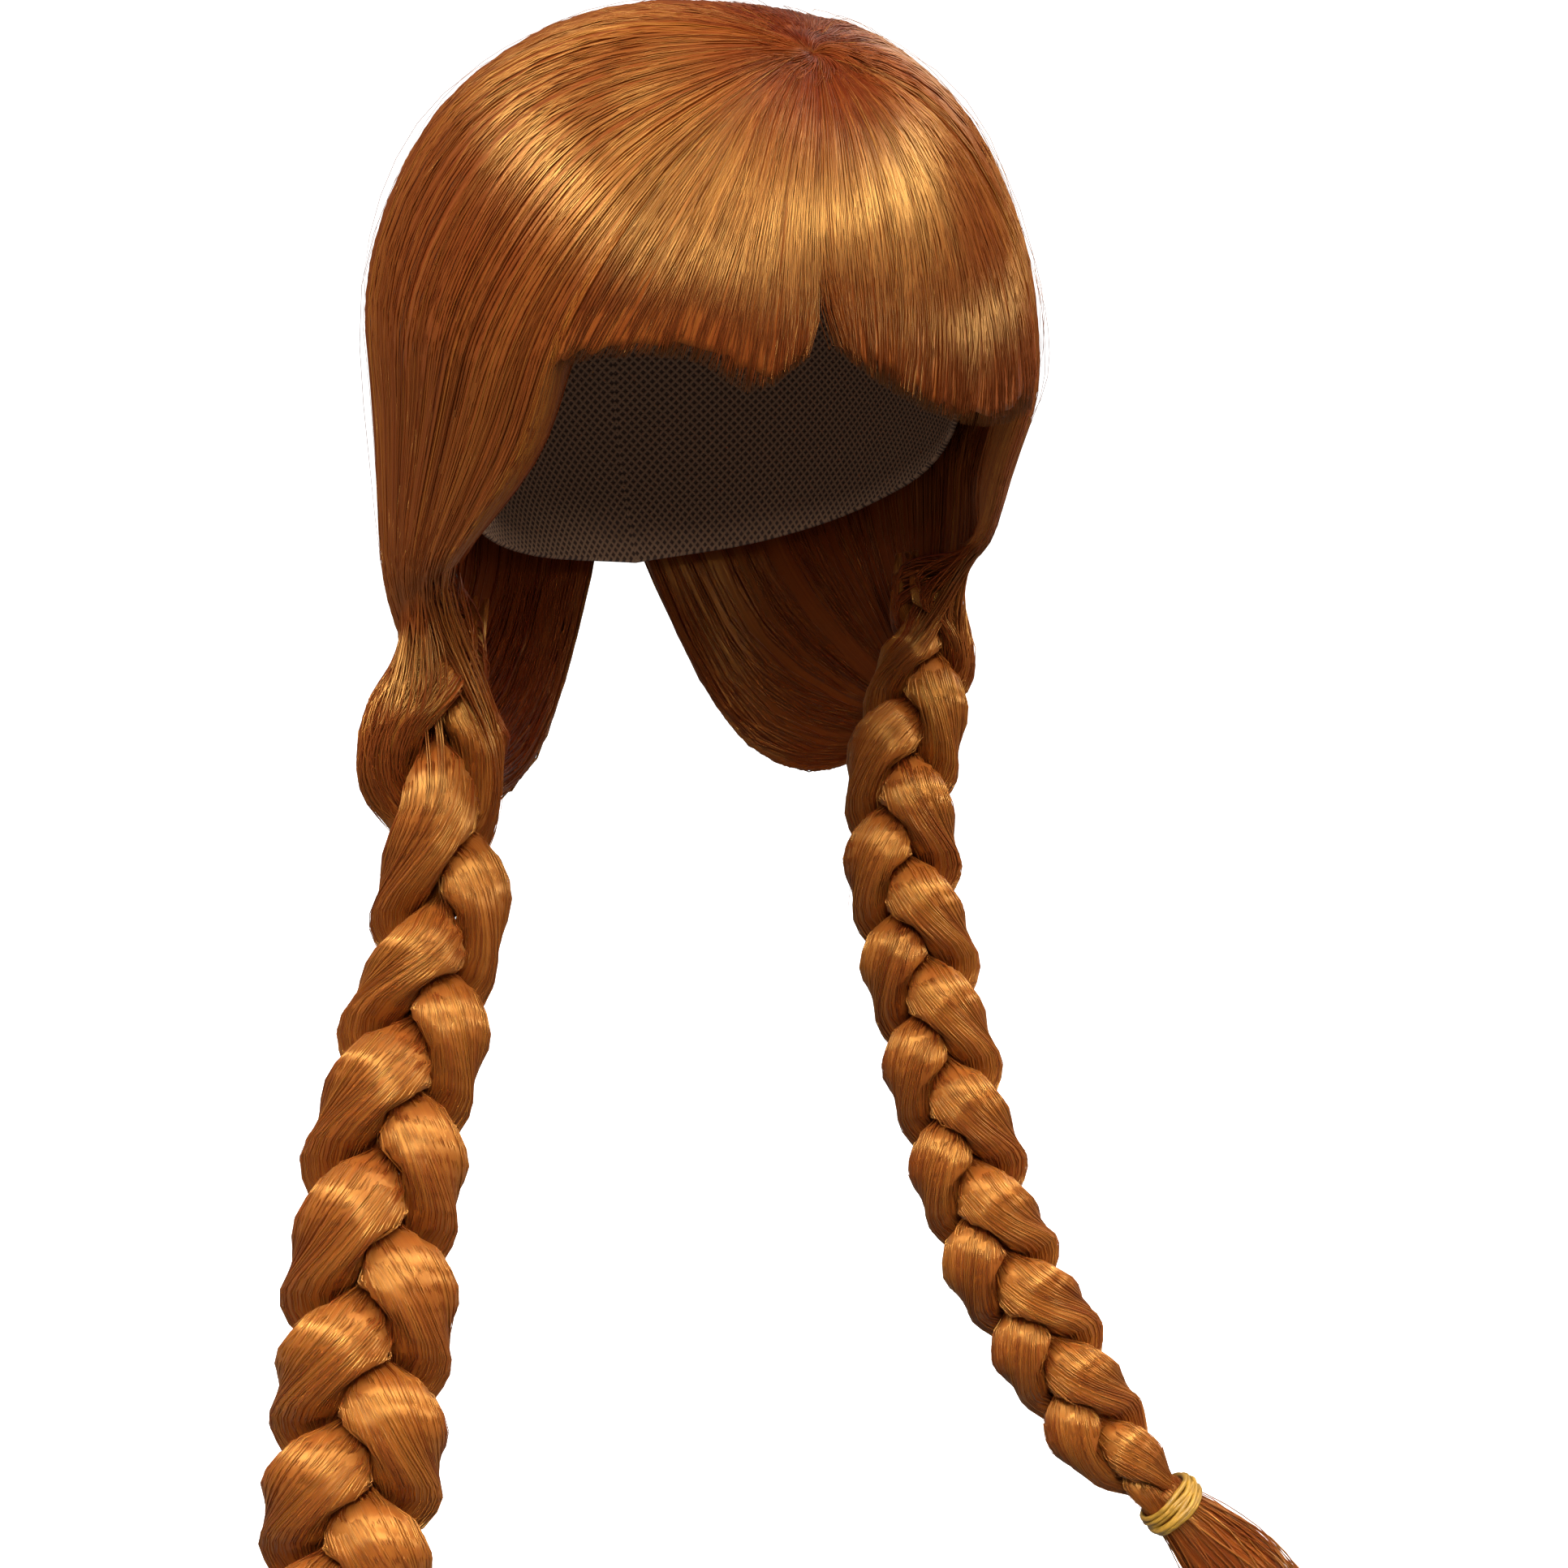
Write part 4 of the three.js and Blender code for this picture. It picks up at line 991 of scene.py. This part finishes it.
def tail(plait, name, fall, node, seed):
    c, along, right, out = end_of(plait)
    rng = np.random.default_rng(seed)
    start = c + along * (BAND_RISE - BAND_LIFT)
    fall = unit(np.array(fall, float))
    a, b, d = start, start + along * TAIL_LENGTH * 0.5, start + along * TAIL_LENGTH * 0.5 + fall * TAIL_LENGTH * 0.5
    s = np.linspace(0, 1, 200)[:, None]
    path = a * (1 - s) ** 2 + 2 * b * s * (1 - s) + d * s**2
    far = np.concatenate([[0], np.cumsum(np.linalg.norm(np.diff(path, axis=0), axis=1))])
    whole = far[-1]
    # the same line, carried up through the band
    extra = 11.5
    n_up = 12
    path = np.concatenate([start - along * np.linspace(extra, extra / n_up, n_up)[:, None], path])
    far = np.concatenate([-np.linspace(extra, extra / n_up, n_up), far])
    way = unit(np.gradient(path, axis=0))
    u = unit(right - way * (way @ right)[:, None])
    v = np.cross(way, u)
    form = lambda t: np.where(t < 0, 8.3, through(TAIL_FORM[:, 0], TAIL_FORM[:, 1], np.clip(t, 0, 1.04)))

    def spot(t, radius, angle, wave=0.0):
        """t share of the tail, radius 0 to 1 of its half-width there."""
        f = t * whole
        pick = lambda arr: np.stack([np.interp(f, far, arr[:, k]) for k in range(3)], -1)
        r = form(t) * radius
        return pick(path) + pick(u) * (r * np.cos(angle) + wave)[..., None] + pick(v) * (0.8 * r * np.sin(angle))[..., None]

    lo = -extra / whole
    # a tapering core that the fibres hide; its dark tone is painted shade where it shows between them
    t, j = np.meshgrid(np.linspace(lo, 0.8, 26), np.arange(20), indexing="ij")
    core = 0.86 - 0.5 * step(0.3, 0.8, t)
    p = spot(t, core, 2 * np.pi * j / 20)
    i, jj = np.meshgrid(np.arange(25), np.arange(20), indexing="ij")
    kk = (jj + 1) % 20
    quads = np.stack([i * 20 + jj, i * 20 + kk, (i + 1) * 20 + kk, (i + 1) * 20 + jj], -1).reshape(-1, 4)
    fan = np.arange(1, 19)
    tris = np.concatenate([np.stack([0 * fan, fan + 1, fan], -1), np.stack([0 * fan + 500, 500 + fan, 501 + fan], -1)])
    flow = np.stack([np.abs(j - 10) * 4.0, t * whole, np.full(t.shape, 0.3)], -1).reshape(-1, 3)
    uv = np.stack([0.02 + 0.96 * np.abs(j - 10) / 10, 0.02 + 0.96 * (t - lo) / (0.8 - lo)], -1).reshape(-1, 2)
    finish_piece(make_mesh(name + "_core", p.reshape(-1, 3), quads, tris, flow, uv, HAIR_BODY), "hair", node)

    count, segments = 270, 11
    angle = rng.random(count) * 2 * np.pi
    radius = 1.0 * rng.random(count) ** 0.32
    until = 1.0 - 0.30 * rng.random(count) ** 2.2 + 0.03 * rng.random(count)
    share = np.linspace(0, 1, segments + 1)[None, :]
    t = lo + (until[:, None] - lo) * share
    swing = angle[:, None] + 0.35 * noise(rng.random(count)[:, None] * 70, t * 2.2, seed + 1)
    rad = radius[:, None] * (1 + 0.10 * noise(rng.random(count)[:, None] * 70, t * 4, seed + 2))
    line = spot(t, rad, swing)
    mid = spot(t, 0 * rad, swing)
    up = line - mid + 1e-3
    size = 0.34 * (0.7 + 0.6 * rng.random(count))[:, None]
    shape = size * (0.4 + 0.6 * step(0, 0.1, share)) * (1 - 0.88 * step(0.7, 1, share))
    tone = tones(rng, angle * 9, np.zeros(count), seed + 5, count, 0.55)
    finish_piece(fibres(name + "_fibres", line, up, shape, angle * 9, tone, HAIR_FIBRE), "hair", node)


def band(plait, name, node, seed):
    """A thin rubber ring wound several times round the end of the plait."""
    c, along, right, out = end_of(plait)
    rng = np.random.default_rng(seed)
    c = c - along * BAND_LIFT
    points, quads, flows, uvs = [], [], [], []
    base = 0
    turns = [(-3.5, 9.4), (-2.2, 10.0), (-1.0, 9.7), (0.3, 10.3), (1.5, 9.7), (2.7, 10.1), (3.7, 9.7), (0.4, 10.8)]
    for number, (shift, radius) in enumerate(turns):
        tilt = rng.normal(0, 0.085, 2) * (2.2 if number == 7 else 1)
        around, sides, thick = 60, 7, 0.78 + 0.12 * rng.random()
        w, j = np.meshgrid(np.arange(around), np.arange(sides), indexing="ij")
        a = 2 * np.pi * w / around
        r = radius + 0.3 * np.sin(a * 2 + rng.random() * 6) + 0.15 * np.sin(a * 5 + rng.random() * 6)
        z = shift + radius * (tilt[0] * np.cos(a) + tilt[1] * np.sin(a)) + 0.25 * np.sin(a * 3 + rng.random() * 6)
        way = right * np.cos(a)[..., None] + out * np.sin(a)[..., None]
        b = 2 * np.pi * j / sides
        p = c + way * (r + thick * np.cos(b))[..., None] + along * (z + thick * np.sin(b))[..., None]
        points.append(p.reshape(-1, 3))
        k, m = (w + 1) % around, (j + 1) % sides
        f = np.stack([w * sides + j, k * sides + j, k * sides + m, w * sides + m], -1).reshape(-1, 4) + base
        quads.append(f)
        base += around * sides
        flows.append(np.stack([a * 10, b, 0 * b], -1).reshape(-1, 3))
        uvs.append(np.stack([0.02 + 0.96 * np.abs(a - np.pi) / np.pi, 0 * b + (number + 0.1 + 0.8 * np.abs(j - 3) / 3) / 8], -1).reshape(-1, 2))
    obj = make_mesh(name + "_turns", np.concatenate(points), np.concatenate(quads), [], np.concatenate(flows), np.concatenate(uvs), ELASTIC)
    finish_piece(obj, "elastic", node)


def flowing(panel, plait, name, count, sign, seed, inside=False):
    """Hair that leaves the end of a side panel and runs on over the first strands of the plait."""
    rng = np.random.default_rng(seed)
    v = 0.66 * rng.random(count) ** 0.9
    u0 = 0.76 + 0.18 * rng.random(count)
    first, mid, last = 5, 5, 6
    w_start = plait.weave[0] + np.interp(rng.random(count), [0, 1], [0.30, 0.42])
    theta = np.pi / 2 + sign * (-0.25 + v * (-2.6 if inside else 3.8)) + rng.normal(0, 0.12, count)
    if inside:
        w_start = plait.weave[0] + 0.16 + 0.14 * rng.random(count)
    best, pick = np.full(count, -1e9), np.zeros(count)
    c, right, out, along, wide, deep = plait.at(w_start)
    for k in range(3):
        g = 2 * np.pi * w_start + 2 * np.pi * k / 3
        x, y = plait.centre(g, wide, deep)
        r = plait.reach(w_start, float(k), theta, wide, deep)
        far = x * np.cos(theta) + y * np.sin(theta) + r
        better = far > best
        best, pick = np.where(better, far, best), np.where(better, float(k), pick)
    own = theta - plait.lie(2 * np.pi * w_start + 2 * np.pi * pick / 3)
    w = w_start[:, None] + np.linspace(0, 1, last)[None, :] * (0.08 + 0.12 * rng.random(count) + 0.3 * (rng.random(count) < 0.12))[:, None]
    lift = (0.1 + 0.5 * rng.random(count))[:, None] * (1 - 0.8 * step(0.6, 1, np.linspace(0, 1, last)[None, :]))
    below, up_b = plait.surface(w, pick[:, None], np.repeat(own[:, None], last, 1), lift)
    u = u0[:, None] + (0.985 - u0)[:, None] * np.linspace(0, 1, first)[None, :]
    vv = np.repeat(v[:, None], first, 1)
    above, up_a = panel.outer(u, vv, 0.1 + 0.5 * rng.random(count)[:, None])
    if inside:
        above, up_a = panel.inner(u, vv, -0.3 - 0.8 * rng.random(count)[:, None]), -up_a
    p0, p1 = above[:, -1], below[:, 0]
    gap = np.linalg.norm(p1 - p0, axis=1)[:, None]
    t0 = unit(above[:, -1] - above[:, -2]) * gap * 0.9
    t1 = unit(below[:, 1] - below[:, 0]) * gap * 0.9
    s = (np.arange(1, mid + 1) / (mid + 1))[None, :, None]
    between = (
        (2 * s**3 - 3 * s**2 + 1) * p0[:, None]
        + (s**3 - 2 * s**2 + s) * t0[:, None]
        + (3 * s**2 - 2 * s**3) * p1[:, None]
        + (s**3 - s**2) * t1[:, None]
    )
    line = np.concatenate([above, between, below], 1)
    up_m = up_a[:, -1:] * (1 - s) + up_b[:, :1] * s
    up = np.concatenate([up_a, up_m, up_b], 1)
    n = line.shape[1]
    share = np.linspace(0, 1, n)[None, :]
    shape = (0.26 * (0.7 + 0.6 * rng.random(count)))[:, None] * (0.15 + 0.85 * step(0, 0.12, share)) * (1 - 0.9 * step(0.75, 1, share))
    if inside:
        shape = shape * 1.5
    # the inside hair gets a darker tone (0.36 against 0.47): painted shade
    t = tones(rng, v * 60, np.zeros(count), seed + 5, count, 0.36 if inside else 0.47)
    finish_piece(fibres(name, line, up, shape, v * 60, t, HAIR_INSIDE if inside else HAIR_FIBRE), "hair")


for side, table, fall, count, half, panel, sign in (
    ("right", PLAIT_RIGHT, (-0.04, -0.02, -1), 130, 0.30, right_side, 1),
    ("left", PLAIT_LEFT, (0.42, -0.06, -0.9), 106, 0.26, left_side, -1),
):
    plait = Plait(table)
    for k, letter in enumerate("abc"):
        node = f"{side}_plait_strand_{letter}"
        strand_body(plait, node, k, node)
        strand_fibres(plait, node, k, count, half, node, 100 + 10 * k + (50 if side == "left" else 0))
    tail(plait, side + "_tail", fall, side + "_tail", 300 + (50 if side == "left" else 0))
    band(plait, side + "_elastic_band", side + "_elastic_band", 400 + (7 if side == "left" else 0))
    plait_strays(plait, side + "_plait_stray_hairs", 70, 600 + (50 if side == "left" else 0))
    flowing(panel, plait, side + "_gathered_hair", 230, sign, 500 + (50 if side == "left" else 0))
    flowing(panel, plait, side + "_inner_gathered_hair", 190, sign, 520 + (50 if side == "left" else 0), inside=True)


# ---- camera, floor and light ---------------------------------------------------------------------
bpy.ops.mesh.primitive_plane_add(size=300, location=(0, 0, -0.8))
floor = bpy.context.object
floor.name = "studio_floor"
floor.data.materials.append(plain_floor_material())
floor.visible_diffuse = False
floor.visible_glossy = False

camera = bpy.data.objects.new("camera", bpy.data.cameras.new("camera"))
bpy.context.scene.collection.objects.link(camera)
az, el = math.radians(-20), math.radians(12)
target = Vector((0.0253, 0, -0.240))
back = Vector((math.sin(az) * math.cos(el), -math.cos(az) * math.cos(el), math.sin(el)))
camera.location = target + back * 1.7
camera.rotation_euler = (-back).to_track_quat("-Z", "Y").to_euler()
camera.data.lens = 36 * 6460 / 1932
camera.data.sensor_width = 36
camera.data.clip_start, camera.data.clip_end = 0.05, 200
bpy.context.scene.camera = camera

world = bpy.data.worlds.new("studio")
bpy.context.scene.world = world
world.use_nodes = True
world.node_tree.nodes["Background"].inputs["Color"].default_value = (1.0, 0.985, 0.97, 1)
world.node_tree.nodes["Background"].inputs["Strength"].default_value = 0.28


def lamp(name, kind, energy, place, towards, size=1.0, colour=(1, 1, 1)):
    data = bpy.data.lights.new(name, kind)
    data.energy = energy
    data.color = colour
    if kind == "AREA":
        data.shape = "RECTANGLE"
        data.size, data.size_y = size
    else:
        data.angle = size
    obj = bpy.data.objects.new(name, data)
    obj.location = place
    obj.rotation_euler = (Vector(towards) - Vector(place)).to_track_quat("-Z", "Y").to_euler()
    bpy.context.scene.collection.objects.link(obj)
    return obj


def strip(name, energy, turn, rise, size, centre=(0, 0, -0.14), far=2.3):
    a, e = math.radians(turn), math.radians(rise)
    centre = Vector(centre)
    place = centre + far * Vector((math.sin(a) * math.cos(e), -math.cos(a) * math.cos(e), math.sin(e)))
    return lamp(name, "AREA", energy, place, centre, size, (1.0, 0.98, 0.95))


lamp("sky", "SUN", 0.7, (-0.45, -1.3, 1.1), (0, 0, 0), math.radians(14))
strip("front_strip", 37, -2, 55, (1.7, 0.27))
strip("left_strip", 33, 64, 50, (1.5, 0.4))
strip("right_strip", 53, -80, 46, (1.5, 0.42))
strip("far_strip", 11, 112, 30, (1.3, 0.5))
side = strip("side_strip", 0.85, 62, 10, (0.6, 0.4), (0.08, 0, -0.25), 1.8)
side.data.spread = math.radians(40)
low = strip("low_strip", 0.95, -14, 32, (0.7, 0.3), (0, -0.03, -0.53), 1.8)
low.data.spread = math.radians(22)

bpy.context.scene.view_settings.view_transform = "Standard"
bpy.context.scene.view_settings.look = "None"

bpy.context.view_layer.update()
